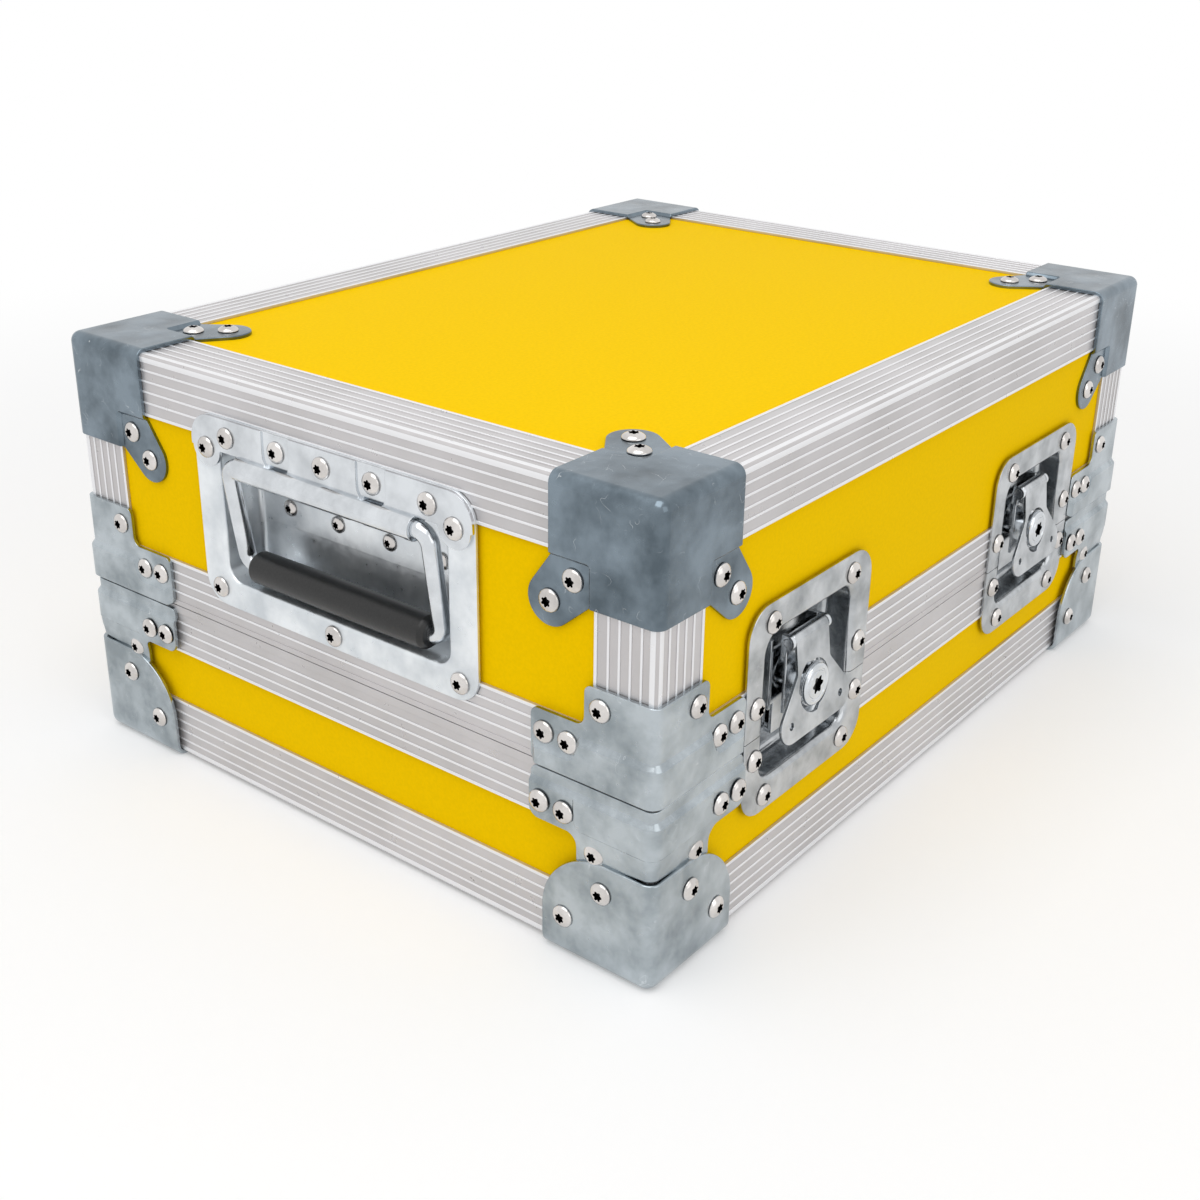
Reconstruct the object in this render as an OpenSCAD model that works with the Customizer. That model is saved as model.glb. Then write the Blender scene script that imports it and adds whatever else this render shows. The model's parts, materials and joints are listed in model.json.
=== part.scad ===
// Flight case for effects pedals: a shallow base tray and a deep hinged lid.
// Millimetres, +Z up, origin at the middle of the footprint, on the ground.
// +X runs along the latch face, the latches are on the -Y face and the
// carrying handle is on the -X end.

/* [Case] */
// Width along the latch face, over the aluminium edges
case_w = 446; // [430:1:620]
// Depth from the latch face to the hinge face, over the edges
case_d = 346; // [300:1:520]
// Height over the aluminium edges, without the corner caps
case_h = 208; // [204:1:300]
// Height of the seam between base and lid, over the bottom edge
seam_h = 84; // [80:1:88]

/* [Panels and edges] */
// Thickness of the laminated plywood panels
panel_t = 9; // [7:0.5:10]
// Width of the ribbed leg of every edge extrusion
leg_w = 30; // [28:0.5:32]
// Sheet thickness of an extrusion, under its ribs
leg_t = 1.3; // [1:0.1:1.8]
// Height of the ribs on the extrusions
rib_h = 0.4; // [0.2:0.1:0.6]
// Distance from rib to rib
rib_pitch = 5.2; // [4.6:0.1:5.4]
// Width of one rib
rib_w = 1.2; // [0.8:0.1:1.8]
// Outer edge radius of the extrusions
edge_r = 2.2; // [1.5:0.1:3]
// Height of the seam extrusion on the base
base_rail_h = 25.4; // [24:0.1:25.4]
// Height of the seam extrusion on the lid
lid_rail_h = 24; // [22:0.5:28]

/* [Corner hardware] */
// Sheet thickness of corner caps and braces
steel_t = 1.8; // [1.2:0.1:2.2]
// Reach of a top cap along each edge
cap_reach = 51; // [48:1:56]
// Reach of a brace along the seam
brace_reach = 60; // [56:1:62]
// Height of the lid brace over the seam
lid_brace_h = 43; // [38:1:46]
// Height of the bulged pressing on the braces
bulge_h = 1.8; // [0.8:0.1:2.4]
// Width of the bottom cap on each side
foot_cap_w = 53; // [46:1:56]
// Height of the bottom cap
foot_cap_h = 50; // [46:1:52]

/* [Latch] */
// Width and height of the latch dish with its rim
latch_size = 98; // [96:1:102]
// Distance of the latch centre from the end of the case
latch_inset = 110; // [110:1:130]
// Sheet thickness of the latch and handle dishes
dish_t = 1.4; // [1:0.1:1.6]
// Depth of the latch dish behind its rim
latch_depth = 15; // [14.5:0.5:16]
// Width of the hole in the rim
latch_open_w = 70; // [68:1:74]
// Height of the hole in the rim
latch_open_h = 68; // [66:1:72]
// Travel of the claw between latched and free
claw_travel = 8; // [7:0.5:8]

/* [Handle] */
// Length of the grip
grip_l = 109; // [104:1:116]
// Height of the handle plate
handle_h = 93; // [93:1:96]
// Depth of the handle dish behind its plate
handle_depth = 21; // [20:0.5:26]
// Diameter of the bail rod
rod_d = 8; // [7:0.5:9]
// Diameter of the grip
grip_d = 16; // [14:0.5:17]

/* [Hinge] */
// Width of one hinge
hinge_w = 64; // [56:1:80]
// Diameter of the hinge pin
hinge_pin_d = 4; // [3:0.5:4.5]

/* [Screws] */
// Head diameter of the button head screws
screw_d = 10; // [8:0.5:10.5]
// Height of the heads
screw_h = 2.6; // [1.8:0.1:3]

/* [Lining] */
// Thickness of the foam sheets on the base floor and under the lid top
foam_t = 10; // [6:1:16]

/* [Hidden] */
$fn = 48;
// Overrun of every cut
over = 1;
// Gap between faces of parts that move past each other
gap = 0.3;
// Radial clearance of a pin in its bore
fit = 0.06;
// Loose clearance round a dish in its cut-out
loose = 0.5;

// Extrusion section: skin is the depth from its outer plane to the panel
skin = leg_t + rib_h;
core = skin + panel_t + leg_t;
inner_leg = 12;
first_rib = 7.6;
lip_w = 1.6;
groove_u = 4.2;
groove_w = 4;
groove_h = 6.5;
tongue_u = 4.9;
tongue_w = 1.8;
tongue_h = 5.5;
base_web = groove_h + leg_t;
lid_web = 3;

// The case stands on its bottom caps
foot = steel_t;
z_seam = foot + seam_h;
z_top = foot + case_h;

// Corner pieces
cap_drop = 49;
cap_over = 1.8;
cap_round = 0.6;
cap_edge_r = edge_r + steel_t + cap_round;
lug_r = 11;
lug_far = 51.5;
lug_near = 40;
brace_neck_w = 33;
brace_r = 3;
brace_fillet = 5;
shelf_h = 24.5;
brace_top_gap = 1.5;
base_brace_h = 25;
base_neck_w = 36;
base_neck_h = 38;
foot_cap_r = 32;
foot_proud = 2 * steel_t;
foot_edge_r = 6;
bulge_near_w = 34;
bulge_step = 1.2;
lid_bulge_near = 19;
lid_bulge_far = 7;
base_bulge_near_w = 38;
base_bulge_from = 6.2;
base_bulge_low = 24;

// Latch, measured from the middle of its dish
latch_z = 94.3;
latch_r = 14;
latch_open_r = 9;
seam_below = latch_z - seam_h;
rim_face = case_d / 2 + dish_t;

// Latch mechanism
keeper_w = 24;
keeper_z = -21.4;
keeper_bar = 2;
keeper_foot = 9.5;
keeper_t = 1.5;
base_t = 1.6;
base_up = 24;
base_down = 9;
bearing_d = 16;
bearing_y = 12.4;
rail_x = 17.3;
rail_t = 2;
rail_y = 8;
spindle_d = 10;
cam_e = 3.5;
cam_r = 9;
cam_y = 6.2;
cam_t = 5.8;
claw_y = 10;
claw_t = 1.6;
claw_w = 34;
claw_top = 17.5;
claw_foot_z = -9;
claw_lip_t = 2.3;
claw_lip_z = keeper_z - gap - claw_lip_t;
claw_bite = 2.8;
slot_x = 13.5;
slot_z = 10;
yoke_y = 4.2;
yoke_t = 1.6;
yoke_w = 25;
yoke_low = 12;
wing_z = 23;
wing_r = 3.3;
wing_t = 1.5;
wing_top_w = 26;
wing_pin_d = 3.6;
wing_tilt = 7;
pin_y = 2.8;
ear_x = 13.3;
ear_t = 2;
head_r = 10;
head_t = 3.3;
head_out = 4.5;
head_clear = 1.1;
collar_r = 8;
socket_r = 2.4;
socket_h = 1.6;
lobe_x = 20;
lobe_down = 12.5;
lobe_r = 8;
lobe_lean_share = 0.7;
lobe_hole_r = 1.7;
dish_screw_x = 32;
dish_screw_far_x = 41.2;
dish_screw_top = 40;
dish_screw_mid = 4;
dish_screw_low = 41;
dish_screw_rail = 20.5;

// Handle, measured from the middle of its plate
handle_drop = 64.5;
handle_z = case_h - handle_drop;
handle_r = 13;
handle_open_r = 8;
handle_box_h = 65.5;
handle_box_mid = -0.25;

// Bail, its barrel and the plates round it
plate_t = 1.6;
bail_out = 2.5;
bail_z = 25.5;
bail_h = 49.8;
bail_bend = 6.2;
bail_lean = 8;
grip_gap = 0.3;
bail_w = grip_l + 2 * (bail_bend + grip_gap);
bail_side_gap = 4;
handle_open_w = bail_w + rod_d + 2 * bail_side_gap;
handle_rim = 16;
handle_w = handle_open_w + 2 * handle_rim;
barrel_inset = 7;
barrel_l = bail_w - 2 * barrel_inset;
barrel_r = rod_d / 2 + plate_t;
band_z = 30.7;
lobe_inset = 10;
lobe_screw_x = handle_w / 2 - lobe_inset;
lobe_screw_z = 31;
end_lobe_r = 9;
band_inset = 24;
band_screw_x = handle_w / 2 - band_inset;
band_screw_z = 38;
pocket_x = 29;
pocket_z = 36;
pocket_rise = 2.5;
pocket_w = 17;
pocket_t = 0.8;
notch_place_shares = [-0.85, -0.42, 0.42, 0.85];
notch_w = 9;
notch_h = 1.8;
low_screw_z = 38;
low_mid_screw_z = 40;
back_plate_inset = 5;
back_plate_w = handle_open_w - 2 * back_plate_inset;
back_plate_z = -7.5;
back_plate_h = 26;
back_screw_inset = 17;
back_screw_x = back_plate_w / 2 - back_screw_inset;
back_screw_near_x = 16;
back_screw_z = 2;
back_screw_d = 8;

// Hinges
hinge_inset = 100;
hinge_out = 5.5;
hinge_t = 1.8;
knuckle_r = 4.2;
knuckle_count = 5;
leaf_clear = 0.5;
pin_wall = 2.4;
pin_over = 1;
base_leaf_h = 25;
lid_leaf_h = 23.5;
leaf_screw_shares = [-0.68, 0, 0.68];
leaf_screw_z = 14.5;

// Screws
socket_share = 0.5;
socket_d_share = 0.36;
lid_brace_screws = [[25, 34], [40.7, 14.5], [53, 15]];
base_brace_screws = [[41.5, 16.5], [54, 16]];
foot_cap_screws = [[22, 37], [41.5, 17.5]];

// Four copies of a corner piece: x and y run inwards from the outer corner
module four_corners(z) {
    for (mx = [0, 1], my = [0, 1])
        mirror([mx, 0, 0]) mirror([0, my, 0])
            translate([-case_w / 2, -case_d / 2, z]) children();
}

// A flat outline in x and z, standing from depth a to depth b along +Y
module wall(a, b) {
    translate([0, b, 0]) rotate([90, 0, 0]) linear_extrude(b - a) children();
}

// The same outline on the x face of a corner: swaps x and y
module other_face() {
    mirror([1, -1, 0]) children();
}

module both_faces() {
    children();
    other_face() children();
}

module round_rect(w, h, r) {
    square([w - 2 * r, h], center = true);
    square([w, h - 2 * r], center = true);
    for (sx = [-1, 1], sy = [-1, 1])
        translate([sx * (w / 2 - r), sy * (h / 2 - r)]) circle(r);
}

// Outer corner between two square sides, taken off to radius r
module corner_cut(r) {
    difference() {
        translate([-over, -over]) square(r + over);
        translate([r, r]) circle(r);
    }
}

// Valleys between the ribs of a leg that runs along x, from the corner on
module leg_valleys(reach) {
    count = floor((reach - first_rib) / rib_pitch);
    start = edge_r + lip_w;
    translate([start, -over]) square([first_rib - rib_w / 2 - start, rib_h + over]);
    for (k = [0 : count - 1]) {
        a = first_rib + k * rib_pitch + rib_w / 2;
        b = k == count - 1 ? reach - lip_w : a + rib_pitch - rib_w;
        translate([a, -over]) square([b - a, rib_h + over]);
    }
}

// Double angle section: outer legs with ribs, inner legs and a corner tube
module angle_section() {
    difference() {
        union() {
            square([leg_w, skin]);
            square([skin, leg_w]);
            square([core, core]);
            square([core + inner_leg, core]);
            square([core, core + inner_leg]);
        }
        translate([core, skin]) square([leg_w, panel_t]);
        translate([skin, core]) square([panel_t, leg_w]);
        translate([skin, skin]) square(panel_t);
        leg_valleys(leg_w);
        mirror([1, -1]) leg_valleys(leg_w);
        corner_cut(edge_r);
    }
}

// Valleys of a seam rail: y runs away from the seam
module rail_valleys(reach) {
    count = floor((reach - lip_w) / rib_pitch);
    for (k = [0 : count - 1]) {
        b = reach - lip_w - k * rib_pitch;
        translate([-over, b - rib_pitch + rib_w]) square([rib_h + over, rib_pitch - rib_w]);
    }
}

module rail_section(reach, web) {
    difference() {
        square([core, reach]);
        translate([skin, web]) square([panel_t, reach]);
        translate([core - leg_t - over, web + inner_leg]) square([core, reach]);
        rail_valleys(reach);
    }
}

module base_rail_section() {
    difference() {
        rail_section(base_rail_h, base_web);
        translate([groove_u, -over]) square([groove_w, groove_h + over]);
    }
}

module lid_rail_section() {
    rail_section(lid_rail_h, lid_web);
    translate([tongue_u, -tongue_h]) square([tongue_w, tongue_h + over]);
}

// One straight edge of length l along x with mitred ends; the section's x
// runs inwards and its y upwards
module mitred(l, depth, height, drop) {
    intersection() {
        rotate([90, 0, 90]) linear_extrude(l) children();
        translate([0, 0, -drop]) linear_extrude(height + drop)
            polygon([[0, 0], [l, 0], [l - depth, depth], [depth, depth]]);
    }
}

module long_pair(z, depth, height, drop) {
    for (my = [0, 1]) mirror([0, my, 0])
        translate([-case_w / 2, -case_d / 2, z]) mitred(case_w, depth, height, drop) children();
}

module short_pair(z, depth, height, drop) {
    for (mx = [0, 1]) mirror([mx, 0, 0])
        translate([-case_w / 2, case_d / 2, z]) rotate([0, 0, -90])
            mitred(case_d, depth, height, drop) children();
}

// Cut-outs in the front wall for the two latch dishes
module latch_cuts() {
    cut_w = latch_open_w + 2 * (dish_t + loose);
    cut_h = latch_open_h + 2 * (dish_t + loose);
    for (sx = [-1, 1])
        translate([sx * (case_w / 2 - latch_inset), 0, foot + latch_z])
            translate([-cut_w / 2, -case_d / 2 - over, -cut_h / 2])
                cube([cut_w, core + 2 * over, cut_h]);
}

module handle_cut() {
    cut_w = handle_open_w + 2 * (dish_t + loose);
    cut_h = handle_box_h + 2 * (dish_t + loose);
    translate([-case_w / 2, 0, foot + handle_z + handle_box_mid])
        translate([skin - over, -cut_w / 2, -cut_h / 2])
            cube([panel_t + 2 * over, cut_w, cut_h]);
}

// Quarter plane from -p on, with its corner rounded to radius r
module quarter(p, r, s) {
    difference() {
        translate([-p, -p]) square(s + p);
        translate([-p, -p]) corner_cut(r);
    }
}

// Rounded outer corner block: stands p out of the sides and pz out of the end
module ball_corner(p, pz, r, s) {
    translate([-p, r - p, r - pz]) cube([s + p, s + p - r, s + pz - r]);
    translate([r - p, -p, r - pz]) cube([s + p - r, s + p, s + pz - r]);
    translate([r - p, r - p, -pz]) cube([s + p - r, s + p - r, s + pz]);
    translate([r - p, r - p, r - pz]) {
        sphere(r);
        cylinder(r = r, h = s + pz - r);
        rotate([-90, 0, 0]) cylinder(r = r, h = s + p - r);
        rotate([0, 90, 0]) cylinder(r = r, h = s + p - r);
    }
}

// The case's own corner, where three rounded edges meet in a mitre
module case_corner(s) {
    difference() {
        cube(s);
        translate([0, 0, -over]) linear_extrude(s + 2 * over) corner_cut(edge_r);
        translate([-over, 0, 0]) rotate([90, 0, 90]) linear_extrude(s + 2 * over) corner_cut(edge_r);
        translate([0, s + over, 0]) rotate([90, 0, 0]) linear_extrude(s + 2 * over) corner_cut(edge_r);
    }
}

module cap_outline(drop) {
    translate([-cap_edge_r, -cap_edge_r]) {
        square([cap_reach + cap_edge_r, leg_w + cap_over + cap_edge_r]);
        square([leg_w + cap_over + cap_edge_r, drop + cap_edge_r]);
    }
}

// Point where a line from p touches the circle of radius r round c
function touch(p, c, r, side) =
    let(a = atan2(p[1] - c[1], p[0] - c[0]) + side * acos(r / norm(p - c)))
    [c[0] + r * cos(a), c[1] + r * sin(a)];

// Lug on the panel: it fills the corner between the flanges' ends and its round end
module lug_outline(drop) {
    c = [lug_far, lug_far];
    p = [cap_reach, leg_w + cap_over];
    q = [leg_w + cap_over, drop];
    polygon([[leg_w, leg_w], [cap_reach, leg_w], p, touch(p, c, lug_r, 1),
        touch(q, c, lug_r, -1), q, [leg_w, drop]]);
    translate(c) circle(lug_r);
}

// Where the sheet steps down from the flanges to the lug
module joggle_outline(drop) {
    translate([leg_w, leg_w]) square([cap_reach - leg_w, cap_over]);
    translate([leg_w, leg_w]) square([cap_over, drop - leg_w]);
}

module top_cap() {
    s = cap_reach + over;
    intersection() {
        difference() {
            ball_corner(steel_t, steel_t, cap_edge_r, s);
            case_corner(s + over);
        }
        union() {
            wall(-cap_edge_r, edge_r) cap_outline(cap_drop);
            other_face() wall(-cap_edge_r, edge_r) cap_outline(cap_drop);
            translate([0, 0, -cap_edge_r]) linear_extrude(cap_edge_r + edge_r) cap_outline(cap_reach);
        }
    }
    both_faces() {
        wall(-steel_t, skin) joggle_outline(cap_drop);
        wall(skin - steel_t, skin) lug_outline(cap_drop);
    }
    translate([0, 0, -steel_t]) linear_extrude(steel_t + skin) joggle_outline(cap_reach);
    translate([0, 0, skin - steel_t]) linear_extrude(steel_t) lug_outline(cap_reach);
}

// Sheet of thickness p folded round the case's upright edge
module edge_shell(p, h, s) {
    linear_extrude(h) difference() {
        quarter(p, edge_r + p, s);
        quarter(0, edge_r, s + over);
    }
}

// A plate with a shelf along the seam and a narrower neck beside the edge
module brace_outline(from, shelf, neck, neck_w) {
    r = brace_r;
    f = brace_fillet;
    translate([-over - foot_edge_r, from]) square([brace_reach - r + over + foot_edge_r, shelf - from]);
    translate([0, from]) square([brace_reach, shelf - from - r]);
    translate([brace_reach - r, shelf - r]) circle(r);
    translate([-over - foot_edge_r, from]) square([neck_w - r + over + foot_edge_r, neck - from]);
    translate([0, from]) square([neck_w, neck - from - r]);
    translate([neck_w - r, neck - r]) circle(r);
    difference() {
        translate([neck_w - over, shelf - over]) square(f + over);
        translate([neck_w + f, shelf + f]) circle(f);
    }
}

// Both faces of a brace, cut from the folded sheet
module folded(p, h) {
    intersection() {
        edge_shell(p, h, brace_reach + over);
        union() {
            wall(-p - over, edge_r) children();
            other_face() wall(-p - over, edge_r) children();
        }
    }
}

// The pressed bulge steps out twice, towards the seam
module brace_bulge(low, near, far, step) {
    translate([-over - foot_edge_r, low])
        square([bulge_near_w + over + foot_edge_r - step, near - low - step]);
    translate([0, low]) square([brace_reach, far - low - step]);
}

module lid_brace() {
    folded(steel_t, lid_brace_h) brace_outline(0, shelf_h, lid_brace_h, brace_neck_w);
    for (k = [1, 2])
        folded(steel_t + bulge_h * k / 2, lid_brace_h)
            brace_bulge(0, lid_bulge_near, lid_bulge_far, k * bulge_step);
}

// On the base the shelf itself stands proud, below a strip along the seam
module base_bulge(step) {
    from = base_bulge_from + step;
    out = over + foot_edge_r;
    intersection() {
        brace_outline(brace_top_gap, base_brace_h, base_neck_h, base_neck_w);
        union() {
            translate([-out, from])
                square([base_bulge_near_w + out, base_bulge_low - step - from]);
            translate([base_bulge_near_w, from])
                square([brace_reach - base_bulge_near_w, base_brace_h - from]);
        }
    }
}

module base_brace() {
    folded(steel_t, base_neck_h)
        brace_outline(brace_top_gap, base_brace_h, base_neck_h, base_neck_w);
    for (k = [1, 2])
        folded(steel_t + bulge_h * k / 2, base_neck_h) base_bulge(k * bulge_step);
}

module foot_outline(w, h) {
    r = foot_cap_r;
    e = foot_edge_r + over;
    translate([-e, -e]) square([w + e - r, h + e]);
    translate([-e, -e]) square([w + e, h + e - r]);
    translate([w - r, h - r]) circle(r);
}

module bottom_cap() {
    s = foot_cap_w + over;
    pocket = seam_h - base_neck_h - gap;
    difference() {
        intersection() {
            difference() {
                ball_corner(foot_proud, foot, foot_edge_r, s);
                case_corner(s + over);
            }
            union() {
                wall(-foot_proud - over, edge_r) foot_outline(foot_cap_w, foot_cap_h);
                other_face() wall(-foot_proud - over, edge_r) foot_outline(foot_cap_w, foot_cap_h);
                translate([0, 0, -foot - over]) linear_extrude(foot + over + edge_r)
                    foot_outline(foot_cap_w, foot_cap_w);
            }
        }
        intersection() {
            translate([0, 0, pocket]) edge_shell(steel_t + gap, foot_cap_h, s);
            translate([-foot_proud, -foot_proud, pocket]) {
                cube([base_neck_w + gap + foot_proud, base_neck_w + gap + foot_proud, foot_cap_h]);
            }
        }
    }
}

// Panels
module sheet(x, y, z, at) {
    translate(at) cube([x, y, z]);
}

module base_floor_panel() color("goldenrod")
    sheet(case_w - 2 * core, case_d - 2 * core, panel_t,
        [core - case_w / 2, core - case_d / 2, foot + skin]);

base_wall_h = seam_h - base_web - core;
lid_wall_h = case_h - seam_h - gap - lid_web - core;

module front_sheet(h, z) {
    sheet(case_w - 2 * core, panel_t, h, [core - case_w / 2, skin - case_d / 2, z]);
}

module side_sheet(h, z) {
    sheet(panel_t, case_d - 2 * core, h, [skin - case_w / 2, core - case_d / 2, z]);
}

module base_front_panel() color("gold") difference() {
    front_sheet(base_wall_h, foot + core);
    latch_cuts();
}

module base_back_panel() color("gold") mirror([0, 1, 0]) front_sheet(base_wall_h, foot + core);
module base_left_panel() color("gold") side_sheet(base_wall_h, foot + core);
module base_right_panel() color("gold") mirror([1, 0, 0]) side_sheet(base_wall_h, foot + core);

module lid_top_panel() color("gold")
    sheet(case_w - 2 * core, case_d - 2 * core, panel_t,
        [core - case_w / 2, core - case_d / 2, z_top - skin - panel_t]);

lid_wall_z = z_seam + gap + lid_web;

module lid_front_panel() color("gold") difference() {
    front_sheet(lid_wall_h, lid_wall_z);
    latch_cuts();
}

module lid_back_panel() color("gold") mirror([0, 1, 0]) front_sheet(lid_wall_h, lid_wall_z);

module lid_left_panel() color("gold") difference() {
    side_sheet(lid_wall_h, lid_wall_z);
    handle_cut();
}

module lid_right_panel() color("gold") mirror([1, 0, 0]) side_sheet(lid_wall_h, lid_wall_z);

// Aluminium edges
module bottom_edges_long() color("silver") long_pair(foot, leg_w, leg_w, 0) angle_section();
module bottom_edges_short() color("silver") short_pair(foot, leg_w, leg_w, 0) angle_section();

module top_edges_long() color("silver")
    translate([0, 0, z_top]) mirror([0, 0, 1]) long_pair(0, leg_w, leg_w, 0) angle_section();

module top_edges_short() color("silver")
    translate([0, 0, z_top]) mirror([0, 0, 1]) short_pair(0, leg_w, leg_w, 0) angle_section();

module base_rails_long() color("silver") difference() {
    translate([0, 0, z_seam]) mirror([0, 0, 1])
        long_pair(0, core, base_rail_h, 0) base_rail_section();
    latch_cuts();
}

module base_rails_short() color("silver")
    translate([0, 0, z_seam]) mirror([0, 0, 1])
        short_pair(0, core, base_rail_h, 0) base_rail_section();

module lid_rails_long() color("silver") difference() {
    long_pair(z_seam + gap, core, lid_rail_h, tongue_h) lid_rail_section();
    latch_cuts();
}

module lid_rails_short() color("silver")
    short_pair(z_seam + gap, core, lid_rail_h, tongue_h) lid_rail_section();

module base_posts() color("silver")
    four_corners(foot + leg_w) linear_extrude(seam_h - leg_w - base_rail_h) angle_section();

module lid_posts() color("silver")
    four_corners(z_seam + gap + lid_rail_h)
        linear_extrude(case_h - seam_h - gap - lid_rail_h - leg_w) angle_section();

// Corner hardware
module top_caps() color("lightslategray") four_corners(z_top) mirror([0, 0, 1]) top_cap();
module bottom_caps() color("lightslategray") four_corners(foot) bottom_cap();
module lid_braces() color("lightslategray") four_corners(z_seam + gap) lid_brace();
module base_braces() color("lightslategray") four_corners(z_seam) mirror([0, 0, 1]) base_brace();

// Latch: local origin in the middle of its dish on the rim's face; x to the
// right, y into the case, z up
module at_latch(side) {
    translate([side * (case_w / 2 - latch_inset), -rim_face, foot + latch_z]) children();
}

module open_outline(grow) {
    round_rect(latch_open_w + 2 * grow, latch_open_h + 2 * grow, latch_open_r + grow);
}

module whole_dish() {
    wall(0, dish_t) difference() {
        round_rect(latch_size, latch_size, latch_r);
        open_outline(0);
    }
    wall(0, latch_depth) difference() {
        open_outline(dish_t);
        open_outline(0);
    }
    wall(latch_depth, latch_depth + dish_t) open_outline(dish_t);
}

// The dish is cut in two at the seam: the upper half is on the lid
module half_dish(upper) {
    low = upper ? gap - seam_below : -latch_size - seam_below;
    intersection() {
        whole_dish();
        translate([-latch_size, -over, low])
            cube([2 * latch_size, latch_depth + dish_t + 2 * over,
                upper ? 2 * latch_size : latch_size]);
    }
}

module latch_dish(side) color("silver") at_latch(side) half_dish(true);

module keeper_dish(side) color("silver") at_latch(side) {
    bar_y = claw_y + claw_t + gap;
    half_dish(false);
    // Hook bar that the claw pulls on, and the foot that holds it
    translate([-keeper_w / 2, latch_depth - keeper_t, keeper_z])
        cube([keeper_w, keeper_t, keeper_foot]);
    translate([-keeper_w / 2, bar_y, keeper_z])
        cube([keeper_w, latch_depth - bar_y, keeper_bar]);
}

// Back plate of the mechanism: bearing ring and two guide rails for the claw
module latch_base(side) color("slategray") at_latch(side) {
    difference() {
        union() {
            wall(latch_depth - base_t, latch_depth)
                translate([-rail_x - rail_t, -base_down])
                    square([2 * (rail_x + rail_t), base_up + base_down]);
            translate([0, latch_depth, 0]) rotate([90, 0, 0])
                cylinder(d = bearing_d, h = latch_depth - bearing_y);
            for (mx = [0, 1]) mirror([mx, 0, 0])
                translate([rail_x, rail_y, -base_down])
                    cube([rail_t, latch_depth - rail_y, base_up + base_down]);
        }
        translate([0, latch_depth + over, 0]) rotate([90, 0, 0])
            cylinder(r = spindle_d / 2 + fit, h = latch_depth);
    }
}

// Claw: pulled up and in by the cam, its lip hooks under the keeper bar
module latch_claw(side) color("lightslategray") at_latch(side) {
    difference() {
        wall(claw_y, claw_y + claw_t) {
            translate([-claw_w / 2, claw_foot_z]) square([claw_w, claw_top - claw_foot_z]);
            translate([-keeper_w / 2, claw_lip_z]) square([keeper_w, claw_top - claw_lip_z]);
        }
        wall(claw_y - over, claw_y + claw_t + over)
            translate([0, cam_e]) square([2 * slot_x, 2 * slot_z], center = true);
    }
    translate([-keeper_w / 2, claw_y, claw_lip_z])
        cube([keeper_w, claw_t + claw_bite, claw_lip_t]);
}

// Round bar along the depth, from depth a out to depth b
module boss(r, a, b) {
    translate([0, a, 0]) rotate([90, 0, 0]) cylinder(r = r, h = a - b);
}

// Spindle: its cam, the yoke that carries the wing, and the round head
module latch_spindle(side) color("slategray") at_latch(side) {
    ear_w = ear_x + ear_t;
    difference() {
        union() {
            boss(spindle_d / 2, latch_depth - gap, yoke_y);
            translate([0, 0, cam_e]) boss(cam_r, cam_y + cam_t, cam_y);
            wall(yoke_y, yoke_y + yoke_t) {
                translate([-yoke_w / 2, -yoke_low]) square([yoke_w, yoke_low + wing_z]);
                translate([-ear_w, wing_z - 2 * wing_r]) square([2 * ear_w, wing_r]);
                circle(r = head_r);
            }
            // Ears that hold the wing's pin
            for (mx = [0, 1]) mirror([mx, 0, 0]) translate([ear_x, pin_y, wing_z]) {
                rotate([0, 90, 0]) cylinder(r = wing_r, h = ear_t);
                translate([0, 0, -2 * wing_r])
                    cube([ear_t, yoke_y + yoke_t - pin_y, 3 * wing_r]);
            }
            boss(collar_r, yoke_y, -head_out);
            boss(head_r, head_t - head_out, -head_out);
        }
        translate([-ear_w - over, pin_y, wing_z]) rotate([0, 90, 0])
            cylinder(r = wing_pin_d / 2 + fit, h = 2 * (ear_w + over));
        // Room behind the wing's barrel
        translate([-ear_x, pin_y - wing_r - over, wing_z - wing_r - gap])
            cube([2 * ear_x, 2 * (wing_r + yoke_t + over), 2 * (wing_r + gap)]);
        // Six-sided socket in the head
        translate([0, socket_h - head_out, 0]) rotate([90, 0, 0])
            cylinder(r = socket_r, h = socket_h + over, $fn = 6);
    }
}

module latch_pin(side) color("silver") at_latch(side)
    translate([-ear_x - ear_t, pin_y, wing_z]) rotate([0, 90, 0])
        cylinder(d = wing_pin_d, h = 2 * (ear_x + ear_t));

// Butterfly wing: narrow at its pin, two lobes at its foot, a hole for the head
module wing_outline() {
    lean = lobe_r * lobe_lean_share;
    foot_z = -wing_z - lobe_down;
    difference() {
        union() {
            translate([-wing_top_w / 2, -wing_z]) square([wing_top_w, wing_z]);
            polygon([
                [-wing_top_w / 2, -wing_z + lobe_r], [wing_top_w / 2, -wing_z + lobe_r],
                [lobe_x + lean, foot_z + lean], [lobe_x, foot_z - lobe_r],
                [-lobe_x, foot_z - lobe_r], [-lobe_x - lean, foot_z + lean]
            ]);
            for (sx = [-1, 1]) translate([sx * lobe_x, foot_z]) circle(lobe_r);
        }
        translate([0, -wing_z]) circle(head_r + head_clear);
        for (sx = [-1, 1]) translate([sx * lobe_x, foot_z]) circle(lobe_hole_r);
    }
}

module latch_wing(side) color("silver") at_latch(side)
    translate([0, pin_y, wing_z]) rotate([-wing_tilt, 0, 0]) difference() {
        union() {
            translate([-wing_top_w / 2, 0, 0]) rotate([0, 90, 0])
                cylinder(r = wing_r, h = wing_top_w);
            wall(-wing_r, wing_t - wing_r) wing_outline();
        }
        translate([-wing_top_w / 2 - over, 0, 0]) rotate([0, 90, 0])
            cylinder(r = wing_pin_d / 2 + fit, h = wing_top_w + 2 * over);
    }

// Handle: local origin in the middle of its plate on the edges' face; x along
// the end wall, y into the case, z up
module at_handle() {
    translate([-case_w / 2, 0, foot + handle_z]) rotate([0, 0, -90]) children();
}

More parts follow.
